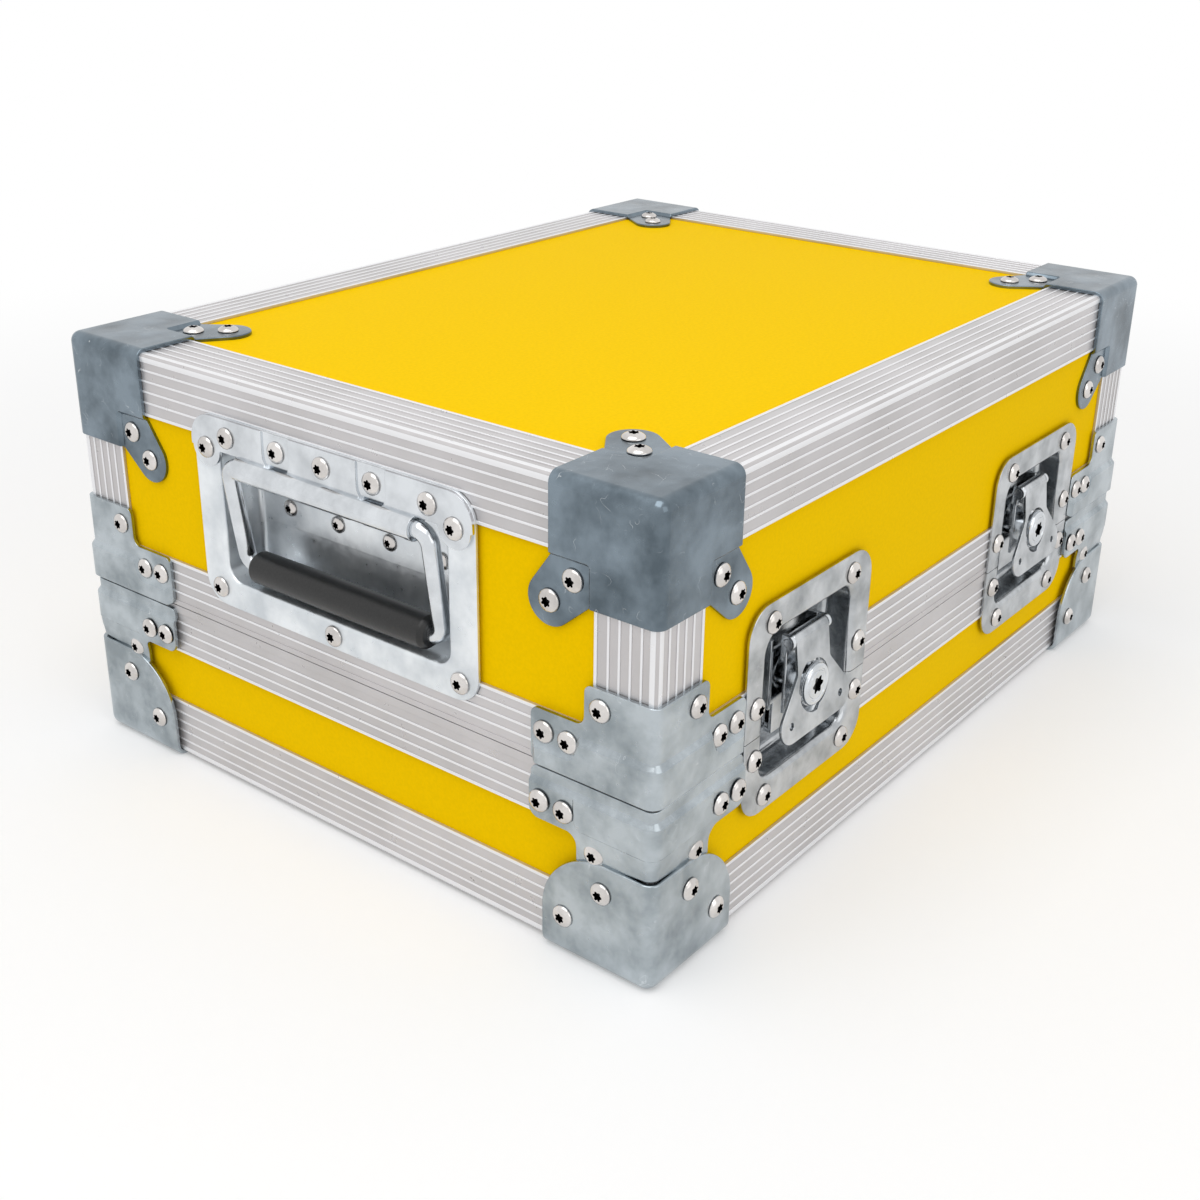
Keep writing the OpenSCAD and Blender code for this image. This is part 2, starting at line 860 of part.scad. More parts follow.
module handle_opening(grow) {
    translate([0, handle_box_mid])
        round_rect(handle_open_w + 2 * grow, handle_box_h + 2 * grow, handle_open_r + grow);
}

module handle_dish() color("lightslategray") at_handle() {
    wall(-dish_t, 0) difference() {
        round_rect(handle_w, handle_h, handle_r);
        handle_opening(0);
    }
    wall(-dish_t, handle_depth) difference() {
        handle_opening(dish_t);
        handle_opening(0);
    }
    wall(handle_depth, handle_depth + dish_t) handle_opening(dish_t);
}

// Upper plate: a band with a lobe at each end and a tongue down to the barrel
module hinge_plate_outline() {
    intersection() {
        round_rect(handle_w, handle_h, handle_r);
        union() {
            translate([-handle_w / 2, band_z]) square([handle_w, handle_h]);
            for (sx = [-1, 1]) translate([sx * lobe_screw_x, lobe_screw_z]) circle(end_lobe_r);
            translate([-barrel_l / 2, bail_z]) square([barrel_l, handle_h]);
        }
    }
}

module handle_hinge_plate() color("lightslategray") at_handle() {
    out = dish_t + plate_t;
    difference() {
        union() {
            wall(-out, -dish_t) hinge_plate_outline();
            translate([-barrel_l / 2, -bail_out, bail_z]) rotate([0, 90, 0])
                cylinder(r = barrel_r, h = barrel_l);
        }
        translate([-barrel_l / 2 - over, -bail_out, bail_z]) rotate([0, 90, 0])
            cylinder(r = rod_d / 2 + fit, h = barrel_l + 2 * over);
        // Pressed pockets round two of the screws
        for (sx = [-1, 1]) wall(-out - over, pocket_t - out) translate([sx * pocket_x, pocket_z]) {
            circle(d = pocket_w);
            translate([-pocket_w / 2, 0]) square([pocket_w, handle_h]);
        }
        // Notches under the rolled edge
        for (share = notch_place_shares)
            translate([share * barrel_l / 2 - notch_w / 2, -bail_out - barrel_r, bail_z - barrel_r - over])
                cube([notch_w, 2 * barrel_r, notch_h + over]);
    }
}

module handle_back_plate() color("lightslategray") at_handle()
    wall(handle_depth - plate_t, handle_depth)
        translate([-back_plate_w / 2, back_plate_z]) square([back_plate_w, back_plate_h]);

// Loop of round rod, hanging a little back into the dish
module handle_bail() color("silver") at_handle()
    translate([0, -bail_out, bail_z]) rotate([bail_lean, 0, 0]) {
        bar = bail_w - 2 * bail_bend;
        leg = bail_h - 2 * bail_bend;
        for (z = [0, -bail_h]) translate([-bar / 2, 0, z]) rotate([0, 90, 0])
            cylinder(d = rod_d, h = bar);
        for (sx = [-1, 1]) translate([sx * bail_w / 2, 0, -bail_bend - leg])
            cylinder(d = rod_d, h = leg);
        translate([0, 0, -bail_h / 2]) for (mx = [0, 1], mz = [0, 1])
            mirror([mx, 0, 0]) mirror([0, 0, mz]) translate([bar / 2, 0, leg / 2])
                rotate([90, 0, 0]) rotate_extrude(angle = 90)
                    translate([bail_bend, 0]) circle(d = rod_d);
    }

module handle_grip() color("black") at_handle()
    translate([0, -bail_out, bail_z]) rotate([bail_lean, 0, 0])
        translate([-grip_l / 2, 0, -bail_h]) rotate([0, 90, 0]) difference() {
            cylinder(d = grip_d, h = grip_l);
            translate([0, 0, -over]) cylinder(r = rod_d / 2 + fit, h = grip_l + 2 * over);
        }

// Hinges on the back face: local origin on the pin, y outwards, z up
module at_hinges() {
    for (sx = [-1, 1])
        translate([sx * (case_w / 2 - hinge_inset), case_d / 2 + hinge_out, z_seam + gap / 2])
            children();
}

// One leaf, hanging down from the pin, with the knuckles that first counts from
module hinge_leaf(first, leaf_h) {
    step = hinge_w / knuckle_count;
    difference() {
        union() {
            translate([-hinge_w / 2, -hinge_out, -leaf_h])
                cube([hinge_w, hinge_t, leaf_h - knuckle_r - leaf_clear]);
            for (k = [first : 2 : knuckle_count - 1])
                translate([k * step - hinge_w / 2 + gap / 2, 0, 0]) {
                    rotate([0, 90, 0]) cylinder(r = knuckle_r, h = step - gap);
                    translate([0, -hinge_out, -knuckle_r - leaf_clear - over])
                        cube([step - gap, hinge_out - pin_wall, knuckle_r + leaf_clear + over - gap / 2]);
                }
        }
        translate([-hinge_w / 2 - over, 0, 0]) rotate([0, 90, 0])
            cylinder(r = hinge_pin_d / 2 + fit, h = hinge_w + 2 * over);
    }
}

module base_hinge_leaves() color("silver") at_hinges() hinge_leaf(0, base_leaf_h);
module lid_hinge_leaves() color("silver") at_hinges() mirror([0, 0, 1]) hinge_leaf(1, lid_leaf_h);

module hinge_pins() color("silver") at_hinges()
    translate([-hinge_w / 2 - pin_over, 0, 0]) rotate([0, 90, 0])
        cylinder(d = hinge_pin_d, h = hinge_w + 2 * pin_over);

// Foam sheets inside
module foam_sheet(z) {
    inset = core + loose;
    sheet(case_w - 2 * inset, case_d - 2 * inset, foam_t, [inset - case_w / 2, inset - case_d / 2, z]);
}

module base_foam() color("dimgray") foam_sheet(foot + core);
module lid_foam() color("dimgray") foam_sheet(z_top - core - foam_t);

// Button head with its socket, standing on z = 0
module button(d, h) {
    dome = (d * d / 4 + h * h) / (2 * h);
    difference() {
        intersection() {
            translate([0, 0, h - dome]) sphere(dome);
            cylinder(d = d, h = h + over);
        }
        translate([0, 0, h - h * socket_share]) cylinder(d = d * socket_d_share, h = h, $fn = 6);
    }
}

// Buttons on an upright face at depth y, at a list of places
module buttons(places, y, d = screw_d) {
    for (at = places)
        translate([at[0], y, at[1]]) rotate([90, 0, 0]) button(d, d * screw_h / screw_d);
}

module cap_buttons() {
    at = [[lug_near, lug_near], [lug_far, lug_far]];
    both_faces() buttons(at, skin - steel_t);
    for (p = at) translate([p[0], p[1], skin - steel_t]) mirror([0, 0, 1]) button(screw_d, screw_h);
}

module dish_buttons(upper) {
    wide = upper ? [[dish_screw_x, dish_screw_top], [dish_screw_far_x, dish_screw_mid]]
        : [[dish_screw_x, -dish_screw_low], [dish_screw_far_x, -dish_screw_rail]];
    for (mx = [0, 1]) mirror([mx, 0, 0]) buttons(wide, 0);
}

module lid_screws() color("silver") {
    four_corners(z_top) mirror([0, 0, 1]) cap_buttons();
    four_corners(z_seam + gap) both_faces() buttons(lid_brace_screws, -steel_t);
    for (side = [-1, 1]) at_latch(side) dish_buttons(true);
    at_hinges() for (x = leaf_screw_shares)
        translate([x * hinge_w / 2, hinge_t - hinge_out, leaf_screw_z])
            rotate([-90, 0, 0]) button(screw_d, screw_h);
}

module base_screws() color("silver") {
    four_corners(foot) both_faces() buttons(foot_cap_screws, -foot_proud);
    four_corners(z_seam) mirror([0, 0, 1]) both_faces()
        buttons(base_brace_screws, -steel_t - bulge_h);
    for (side = [-1, 1]) at_latch(side) dish_buttons(false);
    at_hinges() for (x = leaf_screw_shares)
        translate([x * hinge_w / 2, hinge_t - hinge_out, -leaf_screw_z])
            rotate([-90, 0, 0]) button(screw_d, screw_h);
}

module handle_screws() color("silver") at_handle() {
    out = dish_t + plate_t;
    for (mx = [0, 1]) mirror([mx, 0, 0]) {
        buttons([[lobe_screw_x, lobe_screw_z], [band_screw_x, band_screw_z]], -out);
        buttons([[pocket_x, pocket_z + pocket_rise]], pocket_t - out);
        buttons([[lobe_screw_x, -low_screw_z]], -dish_t);
        buttons([[back_screw_x, back_screw_z], [back_screw_near_x, back_screw_z]],
            handle_depth - plate_t, back_screw_d);
    }
    buttons([[0, pocket_z + pocket_rise]], -out);
    buttons([[0, -low_mid_screw_z]], -dish_t);
}

base_floor_panel();
base_front_panel();
base_back_panel();
base_left_panel();
base_right_panel();
lid_top_panel();
lid_front_panel();
lid_back_panel();
lid_left_panel();
lid_right_panel();
bottom_edges_long();
bottom_edges_short();
base_rails_long();
base_rails_short();
base_posts();
top_edges_long();
top_edges_short();
lid_rails_long();
lid_rails_short();
lid_posts();
top_caps();
bottom_caps();
lid_braces();
base_braces();
latch_dish(-1);  // latch_dish_left
keeper_dish(-1);  // keeper_dish_left
latch_base(-1);  // latch_base_left
latch_claw(-1);  // latch_claw_left
latch_spindle(-1);  // latch_spindle_left
latch_pin(-1);  // latch_pin_left
latch_wing(-1);  // latch_wing_left
latch_dish(1);  // latch_dish_right
keeper_dish(1);  // keeper_dish_right
latch_base(1);  // latch_base_right
latch_claw(1);  // latch_claw_right
latch_spindle(1);  // latch_spindle_right
latch_pin(1);  // latch_pin_right
latch_wing(1);  // latch_wing_right
handle_dish();
handle_hinge_plate();
handle_back_plate();
handle_bail();
handle_grip();
base_hinge_leaves();
lid_hinge_leaves();
hinge_pins();
base_foam();
lid_foam();
base_screws();
lid_screws();
handle_screws();
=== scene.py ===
# %% [markdown]
# The frame is the measured model of the case: every panel, edge, cap and latch part is already in
# place. It is loaded first, because each piece made here takes its size and place from it.

# %% Load the frame
import json
import math

import bmesh
import bpy
from mathutils import Matrix, Vector, geometry

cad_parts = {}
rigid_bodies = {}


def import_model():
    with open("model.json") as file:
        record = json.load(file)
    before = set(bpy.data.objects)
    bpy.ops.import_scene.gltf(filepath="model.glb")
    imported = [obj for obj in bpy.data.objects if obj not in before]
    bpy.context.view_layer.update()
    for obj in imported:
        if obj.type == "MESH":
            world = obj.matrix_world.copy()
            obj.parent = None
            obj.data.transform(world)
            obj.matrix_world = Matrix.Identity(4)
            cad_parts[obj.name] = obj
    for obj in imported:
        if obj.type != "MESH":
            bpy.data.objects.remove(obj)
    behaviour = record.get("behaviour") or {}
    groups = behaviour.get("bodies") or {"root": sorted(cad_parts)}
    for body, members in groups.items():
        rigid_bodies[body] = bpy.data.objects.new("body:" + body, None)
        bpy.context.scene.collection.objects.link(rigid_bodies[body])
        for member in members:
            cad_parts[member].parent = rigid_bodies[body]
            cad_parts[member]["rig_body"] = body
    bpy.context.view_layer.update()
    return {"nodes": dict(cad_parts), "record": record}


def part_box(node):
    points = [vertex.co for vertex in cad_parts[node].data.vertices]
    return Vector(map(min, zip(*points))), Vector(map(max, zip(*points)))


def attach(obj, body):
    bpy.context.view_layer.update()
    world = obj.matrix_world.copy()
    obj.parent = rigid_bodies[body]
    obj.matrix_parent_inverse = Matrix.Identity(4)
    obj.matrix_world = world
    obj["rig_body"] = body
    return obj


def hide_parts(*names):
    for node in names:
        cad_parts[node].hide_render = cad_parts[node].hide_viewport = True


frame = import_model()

MM = 0.001
SIDES = ("left", "right")


def box_mm(node):
    """Lowest and highest corner of a node of the frame, in millimetres."""
    low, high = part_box(node)
    return low / MM, high / MM


# %% [markdown]
# Most sizes come from the frame: the planes of the aluminium edges, the seam and the middle of each
# dish. What a box can't tell, such as a sheet's thickness, is a named value here.

# %% Sizes of the case
edge_low, edge_high = box_mm("top_edges_long")
half_w = edge_high.x
half_d = box_mm("top_edges_short")[1].y
top_z = edge_high.z
floor_z = box_mm("bottom_edges_long")[0].z
leg_w = edge_high.z - edge_low.z
seam_z = box_mm("base_rails_short")[1].z
skin = half_w - box_mm("lid_right_panel")[1].x
steel_t = 1.8
screw_d = 10.0
outer_planes = (("X", half_w), ("Y", half_d), ("Z", top_z))
print("half width", half_w, "half depth", half_d, "seam", round(seam_z, 2), "skin", round(skin, 2))

# %% [markdown]
# The photograph looks down on the near corner from the handle's side. A camera stands where such a
# view is taken from: its place, the direction that it looks in and a slight roll were found by
# laying the case's long straight edges over the picture. Its shift is small, so that it frames any
# other view just as well.

# %% Camera
camera_at = Vector((-0.6427, -0.4710, 0.4126))
camera_azimuth = math.radians(-51.94)
camera_elevation = math.radians(23.52)
camera_roll = math.radians(0.67)
sensor_mm = 36.0
focal_px = 1578.7
frame_px = 1200.0
centre_px = Vector((593.1, 560.3))


def to_scene(name, data):
    """A new object in the scene, with its data."""
    made = bpy.data.objects.new(name, data)
    bpy.context.scene.collection.objects.link(made)
    return made


def facing_along(way):
    """The turn that makes a camera or a lamp face along a direction."""
    return way.to_track_quat("-Z", "Y").to_matrix().to_4x4()


looking = Vector((
    -math.sin(camera_azimuth) * math.cos(camera_elevation),
    math.cos(camera_azimuth) * math.cos(camera_elevation),
    -math.sin(camera_elevation),
))
camera_data = bpy.data.cameras.new("camera")
camera_data.sensor_width = sensor_mm
camera_data.lens = focal_px / frame_px * sensor_mm
camera_data.shift_x = 0.5 - centre_px.x / frame_px
camera_data.shift_y = centre_px.y / frame_px - 0.5
camera = to_scene("camera", camera_data)
camera.matrix_world = (
    Matrix.Translation(camera_at) @ facing_along(looking) @ Matrix.Rotation(camera_roll, 4, "Z"))
bpy.context.scene.camera = camera
print("lens", round(camera_data.lens, 1), "mm")

# %% [markdown]
# Product light is soft and plain. One wide lamp hangs over the case towards the handle's side, so
# that the top is lightest and the latch face is a little darker. A weaker one stands in front.

# %% Lamps
key_power = 13.0
key_size = 1.6
key_at = Vector((-0.75, -0.15, 1.75))
front_power = 3.0
front_size = 1.2
front_at = Vector((-0.35, -1.7, 0.8))
case_middle = Vector((0.0, 0.0, 0.1))


def soft_lamp(name, at, size, power):
    """A square lamp that faces the case."""
    data = bpy.data.lights.new(name, "AREA")
    data.energy = power
    data.size = size
    to_scene(name, data).matrix_world = Matrix.Translation(at) @ facing_along(case_middle - at)


soft_lamp("key_lamp", key_at, key_size, key_power)
soft_lamp("front_lamp", front_at, front_size, front_power)

# %% [markdown]
# Light and finishes are trees of nodes. Two helpers write a node, or a sum on two or three values,
# in one line each. What goes into a socket is either another node's output or a plain value.

# %% Node helpers
def put(tree, kind, given=(), **settings):
    """A new shader node: first its settings, then what goes into its sockets."""
    node = tree.nodes.new("ShaderNode" + kind)
    for setting, value in settings.items():
        setattr(node, setting, value)
    for socket, value in dict(given).items():
        if isinstance(value, bpy.types.NodeSocket):
            tree.links.new(value, node.inputs[socket])
        else:
            node.inputs[socket].default_value = value
    return node


def calc(tree, operation, *values, clamp=False):
    """The result of one sum on outputs or numbers."""
    return put(tree, "Math", enumerate(values), operation=operation, use_clamp=clamp).outputs[0]


def seen_rays(tree):
    """1 for rays that show a picture of what they meet: seen straight, mirrored or through glass."""
    path = put(tree, "LightPath").outputs
    mirrored = calc(tree, "MAXIMUM", path["Is Camera Ray"], path["Is Glossy Ray"])
    return calc(tree, "MAXIMUM", mirrored, path["Is Transmission Ray"])


def mix_shaders(tree, share, first, second):
    """The second shader in place of the first, by a share."""
    return put(tree, "MixShader", {"Fac": share, 1: first, 2: second}).outputs[0]


def mix_tones(tree, share, first, second):
    """The second colour in place of the first, by a share."""
    return put(tree, "Mix", {"Factor": share, "A": first, "B": second}, data_type="RGBA").outputs["Result"]


print("node helpers ready")

# %% [markdown]
# An even sky fills the shade. The camera sees plain white behind the case, and mirrored rays are
# given the same white. Bare metal then shows the background that the picture has, and its own colour
# comes out about as it is written.

# %% World
sky_fill = 0.65

world = bpy.data.worlds.new("studio")
bpy.context.scene.world = world
world.use_nodes = True
tree = world.node_tree
fill_light = tree.nodes["Background"]
fill_light.inputs["Color"].default_value = (sky_fill, sky_fill, sky_fill, 1)
white_light = put(tree, "Background", {"Color": (1, 1, 1, 1)})
behind = mix_shaders(tree, seen_rays(tree), fill_light.outputs[0], white_light.outputs[0])
tree.links.new(behind, tree.nodes["World Output"].inputs["Surface"])
bpy.context.scene.view_settings.view_transform = "Standard"
print("sky fill", sky_fill)

# %% [markdown]
# Each finish is a shader that reads the place of the point, so it needs no picture. The helpers
# below build the parts that several finishes share: noise, a colour ramp and a bump.

# %% Shader helpers
def new_material(name, given=()):
    """An empty material with its tree, its shader and its Object coordinates."""
    made = bpy.data.materials.new(name)
    made.use_nodes = True
    tree = made.node_tree
    shader = tree.nodes["Principled BSDF"]
    for socket, value in dict(given).items():
        shader.inputs[socket].default_value = value
    return made, tree, shader, put(tree, "TexCoord").outputs["Object"]


def noise(tree, place, cell, detail=3.0, rough=0.55, stretch=(1, 1, 1)):
    """Noise whose patches measure about one cell, in metres."""
    scaled = put(tree, "Mapping", {"Scale": [x / cell for x in stretch], "Vector": place}).outputs[0]
    return put(
        tree, "TexNoise", {"Scale": 1.0, "Detail": detail, "Roughness": rough, "Vector": scaled}).outputs["Fac"]


def ramp(tree, value, stops):
    """Colours along a value: stops are (position, (r, g, b)) or (position, grey)."""
    made = put(tree, "ValToRGB", {"Fac": value})
    points = made.color_ramp.elements
    while len(points) < len(stops):
        points.new(0.5)
    for point, (at, tone) in zip(points, stops):
        point.position = at
        point.color = (*tone, 1) if isinstance(tone, tuple) else (tone, tone, tone, 1)
    return made.outputs["Color"]


def bump(tree, shader, height, depth):
    """Relief from a height between 0 and 1 that stands for depth metres."""
    made = put(tree, "Bump", {"Strength": 1.0, "Distance": depth, "Height": height})
    tree.links.new(made.outputs[0], shader.inputs["Normal"])


def from_middle(tree, place):
    """Distances from the middle of the case along X, Y and Z."""
    size = put(tree, "VectorMath", {0: place}, operation="ABSOLUTE").outputs[0]
    return put(tree, "SeparateXYZ", {0: size}).outputs


def linear(red, green, blue):
    """A colour as a screen shows it, 0 to 255, as the linear values that a shader takes."""
    def one(value):
        share = value / 255
        return share / 12.92 if share <= 0.04045 else ((share + 0.055) / 1.055) ** 2.4
    return one(red), one(green), one(blue)


print("mid grey is", round(linear(128, 128, 128)[0], 3), "for a shader")

# %% [markdown]
# The floor is plain and pale. It keeps the case's shadow near the feet and goes over into the white
# of the background farther out, so that no horizon shows. Metal mirrors the same floor.

# %% Floor
floor_size = 8.0
floor_tone = 0.82
floor_glow = 0.2
near_floor = 0.4
far_floor = 1.1

floor_mesh = bpy.data.meshes.new("floor")
reach = floor_size / 2
floor_mesh.from_pydata(
    [(-reach, -reach, 0), (reach, -reach, 0), (reach, reach, 0), (-reach, reach, 0)], [], [(0, 1, 2, 3)])
floor_material, tree, shader, place = new_material("pale_floor", {
    "Base Color": (floor_tone, floor_tone, floor_tone, 1), "Roughness": 0.7, "Specular IOR Level": 0.1,
    "Emission Color": (1, 1, 1, 1)})
distance = put(tree, "VectorMath", {0: place}, operation="LENGTH").outputs["Value"]
fading = put(
    tree, "MapRange", {"From Min": near_floor, "From Max": far_floor, "Value": distance},
    interpolation_type="SMOOTHSTEP").outputs["Result"]
seen = seen_rays(tree)
tree.links.new(calc(tree, "MULTIPLY", seen, floor_glow), shader.inputs["Emission Strength"])
white = put(tree, "Emission", {"Color": (1, 1, 1, 1)}).outputs[0]
tree.links.new(
    mix_shaders(tree, calc(tree, "MULTIPLY", fading, seen), shader.outputs[0], white),
    tree.nodes["Material Output"].inputs["Surface"])
floor_mesh.materials.append(floor_material)
to_scene("floor", floor_mesh)
print("floor fades from", near_floor, "to", far_floor, "m")

# %% [markdown]
# The panels are plywood with a coloured laminate outside. The laminate is a saturated yellow with
# the fine orange peel of sprayed or pressed sheet. It is only as deep as a few millimetres under the
# outside of the case. Whatever lies deeper is plain laid-up wood, so the shader asks for the depth.

# %% Laminate
laminate_yellow = linear(255, 208, 0)
yellow_low = tuple(x * 0.955 for x in laminate_yellow)
yellow_depth = 3.4
peel_cell = 0.0016
peel_depth = 0.00002
wood_light = linear(214, 190, 150)
wood_dark = linear(186, 156, 112)
grain_cell = 0.004
grain_stretch = (0.06, 1.0, 1.0)
end_stretch = (1.0, 0.06, 1.0)
end_depth = 14.0

laminate, tree, shader, place = new_material(
    "laminate", {"Roughness": 0.5, "Specular IOR Level": 0.02, "IOR": 1.3})
away = from_middle(tree, place)
is_inside = calc(tree, "GREATER_THAN", away["Z"], (floor_z + yellow_depth) * MM)
for axis, limit in outer_planes:
    under = calc(tree, "LESS_THAN", away[axis], (limit - yellow_depth) * MM)
    is_inside = calc(tree, "MULTIPLY", is_inside, under)
peel = noise(tree, place, peel_cell, detail=2.0)
yellow = ramp(tree, peel, [(0.35, yellow_low), (0.65, laminate_yellow)])
at_end = calc(tree, "GREATER_THAN", away["X"], (half_w - end_depth) * MM)
grain, end_grain = (
    noise(tree, place, grain_cell, detail=5.0, stretch=along) for along in (grain_stretch, end_stretch))
either_grain = put(tree, "Mix", {"Factor": at_end, "A": grain, "B": end_grain}).outputs["Result"]
wood = ramp(tree, either_grain, [(0.35, wood_dark), (0.65, wood_light)])
tree.links.new(mix_tones(tree, is_inside, yellow, wood), shader.inputs["Base Color"])
bump(tree, shader, peel, peel_depth)
print("laminate made:", laminate.name)

# %% [markdown]
# Metal is told apart by what happened to it, and the aluminium's ribs by a painted highlight.
# Handling leaves fine pale scratches in patches, which are the edges of bent Voronoi cells. The
# highlight is a pale colour on the tops of the ribs, painted for the light that they catch, so a
# mask finds what stands proud of the outer planes, away from the lip of the seam.

# %% Marks on metal and a painted rib highlight
scratch_cell = 0.022
scratch_w = 0.004
scratch_tone = (0.9, 0.93, 0.95, 1)
swirl_cell = 0.012
swirl = (0.03, 0.03, 0.03)
patch_cell = 0.009
rib_skin = 0.2
seam_lip = 4.6


def with_scratches(tree, place, tone, strength):
    """The tone with fine pale scratches over it, in patches."""
    wander = put(tree, "TexNoise", {"Scale": 1 / swirl_cell, "Vector": place}).outputs["Color"]
    bent = put(tree, "VectorMath", {0: wander, 1: swirl, 2: place}, operation="MULTIPLY_ADD").outputs[0]
    cells = put(tree, "TexVoronoi", {"Scale": 1 / scratch_cell, "Vector": bent}, feature="DISTANCE_TO_EDGE")
    mark = ramp(tree, cells.outputs["Distance"], [(0.0, 1.0), (scratch_w, 0.0)])
    patch = ramp(tree, noise(tree, place, patch_cell, detail=1.0), [(0.55, 0.0), (0.62, strength)])
    return mix_tones(tree, calc(tree, "MULTIPLY", mark, patch), tone, scratch_tone)


def rib_highlight_mask(tree, place):
    """1 on the tops of the ribs, where the painted highlight goes, and 0 elsewhere."""
    away = from_middle(tree, place)
    proud = 0.0
    for axis, limit in outer_planes:
        beyond = calc(tree, "GREATER_THAN", away[axis], (limit - rib_skin) * MM)
        proud = calc(tree, "MAXIMUM", beyond, proud)
    at_seam = calc(tree, "COMPARE", away["Z"], seam_z * MM, seam_lip * MM)
    return calc(tree, "SUBTRACT", proud, at_seam, clamp=True)


print("rib tops lie within", rib_skin, "mm of the outside")

# %% [markdown]
# The edges are mill finished aluminium: pale and satin, with a painted highlight on the tops of the
# ribs. The pressed corners and braces are zinc plated steel. Its plating dries in soft clouds of
# lighter and darker blue grey, and the sheet is slightly wavy, which moves the reflections about. The
# top corners take a darker copy of it, painted shade for their darker reflections. The latch and its
# dishes are the same steel in a more neutral tone, and the handle's dish and back plate take a
# lighter copy, painted light that lifts the shade in the deep dish. The sockets of screws are
# painted dark inside, a painted shade in their recess.

# %% Metals
# painted shade: near black in the recess of each screw and hub socket
socket_painted_shade = (0.012, 0.012, 0.013, 1)


def metal(name, dark, light, cloud, rough, wave=0.0, scratched=0.0, metallic=1.0, rib_highlight=None, shade_in_sockets=False):
    """A metal with soft clouds between two tones, in screen colours, and on request scratches, a painted
    highlight on the rib tops and painted shade in the sockets.
    """
    made, tree, shader, place = new_material(name, {"Metallic": metallic})
    broad = noise(tree, place, cloud, detail=2.5, rough=0.5)
    fine = noise(tree, place, cloud / 6)
    clouds = calc(tree, "MULTIPLY_ADD", fine, 0.25, broad)
    tone = ramp(tree, clouds, [(0.42, linear(*dark)), (0.78, linear(*light))])
    tree.links.new(ramp(tree, fine, [(0.3, rough * 0.8), (0.7, rough * 1.25)]), shader.inputs["Roughness"])
    if scratched:
        tone = with_scratches(tree, place, tone, scratched)
    if rib_highlight:
        # the tops of the ribs take a painted highlight colour
        tone = mix_tones(tree, rib_highlight_mask(tree, place), tone, (*linear(*rib_highlight), 1))
    # the sockets take the painted shade in place of the steel's tone
    if shade_in_sockets:
        socket_shade = put(tree, "Attribute", attribute_name="socket").outputs["Fac"]
        tone = mix_tones(tree, socket_shade, tone, socket_painted_shade)
    tree.links.new(tone, shader.inputs["Base Color"])
    if wave:
        bump(tree, shader, broad, wave)
    return made


# painted highlight: near white on the tops of the ribs
aluminium = metal(
    "aluminium", (194, 191, 191), (207, 204, 205), 0.05, 0.34, metallic=0.55, rib_highlight=(240, 240, 242))
zinc_steel = metal("zinc_steel", (140, 149, 154), (186, 194, 199), 0.02, 0.22, wave=0.0006, scratched=0.5)
# a darker copy of the zinc steel for the top corners: painted shade for their darker reflections
zinc_steel_painted_shade = metal("zinc_steel_painted_shade", (88, 99, 107), (132, 145, 155), 0.024, 0.22, wave=0.0006, scratched=0.6)
latch_steel = metal("latch_steel", (150, 154, 157), (200, 203, 206), 0.016, 0.2, wave=0.0003, scratched=0.2)
# a lighter copy of the latch steel for the handle's dish and back plate: painted light that lifts the shade in
# the deep dish
dish_steel_painted_light = metal(
    "dish_steel_painted_light", (206, 212, 217), (238, 242, 245), 0.02, 0.34, wave=0.0004, scratched=0.35, metallic=0.8)
# both take the painted shade in their sockets
bright_steel = metal("bright_steel", (196, 200, 204), (222, 226, 230), 0.015, 0.17, shade_in_sockets=True)
screw_steel = metal("screw_steel", (196, 192, 189), (222, 218, 215), 0.01, 0.2, shade_in_sockets=True)
print("finishes so far:", [m.name for m in bpy.data.materials])

# %% [markdown]
# The grip is moulded black rubber or plastic with a satin skin, and the lining foam is dark grey
# with open pores.

# %% Grip and foam
grip_black, tree, shader, place = new_material("grip_black", {"Roughness": 0.36})
speck = noise(tree, place, 0.0009, detail=2.0)
tree.links.new(ramp(tree, speck, [(0.3, 0.006), (0.7, 0.014)]), shader.inputs["Base Color"])
bump(tree, shader, speck, 0.00001)

foam_grey, tree, shader, place = new_material("foam_grey", {"Roughness": 0.95})
pores = noise(tree, place, 0.0011, detail=4.0, rough=0.7)
tree.links.new(ramp(tree, pores, [(0.38, 0.012), (0.62, 0.05)]), shader.inputs["Base Color"])
bump(tree, shader, pores, 0.0004)
print("soft finishes:", grip_black.name, foam_grey.name)

# %% [markdown]
# Every node of the frame first takes its finish, so that nothing is left bare. The pieces made
# later stand in for most of the sheet metal ones.

# %% Finishes on the frame
finish_of = {
    "laminate": laminate, "aluminium": aluminium, "zinc_steel": zinc_steel, "latch_steel": latch_steel,
    "bright_steel": bright_steel, "screws": screw_steel, "grip": grip_black, "foam": foam_grey,
}
slot_of = {row["node"]: row["material_slot"] for row in frame["record"]["subparts"]}
for node, piece in frame["nodes"].items():
    piece.data.materials.clear()
    piece.data.materials.append(finish_of[slot_of[node]])
print(len(slot_of), "nodes have their finish")

# %% [markdown]
# Each piece is one mesh. It is made in millimetres, smoothed with its creases kept, given its finish
# and set to ride on the body that carries it. It may stand for one or more nodes of the frame.

# %% Pieces
def crease(mesh, degrees=32):
    """Smooth shading that keeps edges sharper than this many degrees."""
    mesh.shade_smooth()
    mesh.set_sharp_from_angle(angle=math.radians(degrees))


def close_up(name, bm):
    """Turns the faces outwards and tells whether the mesh is closed."""
    bmesh.ops.recalc_face_normals(bm, faces=bm.faces)
    loose = [e for e in bm.edges if len(e.link_faces) != 2]
    print(name, len(bm.faces), "faces,", len(loose), "open edges")


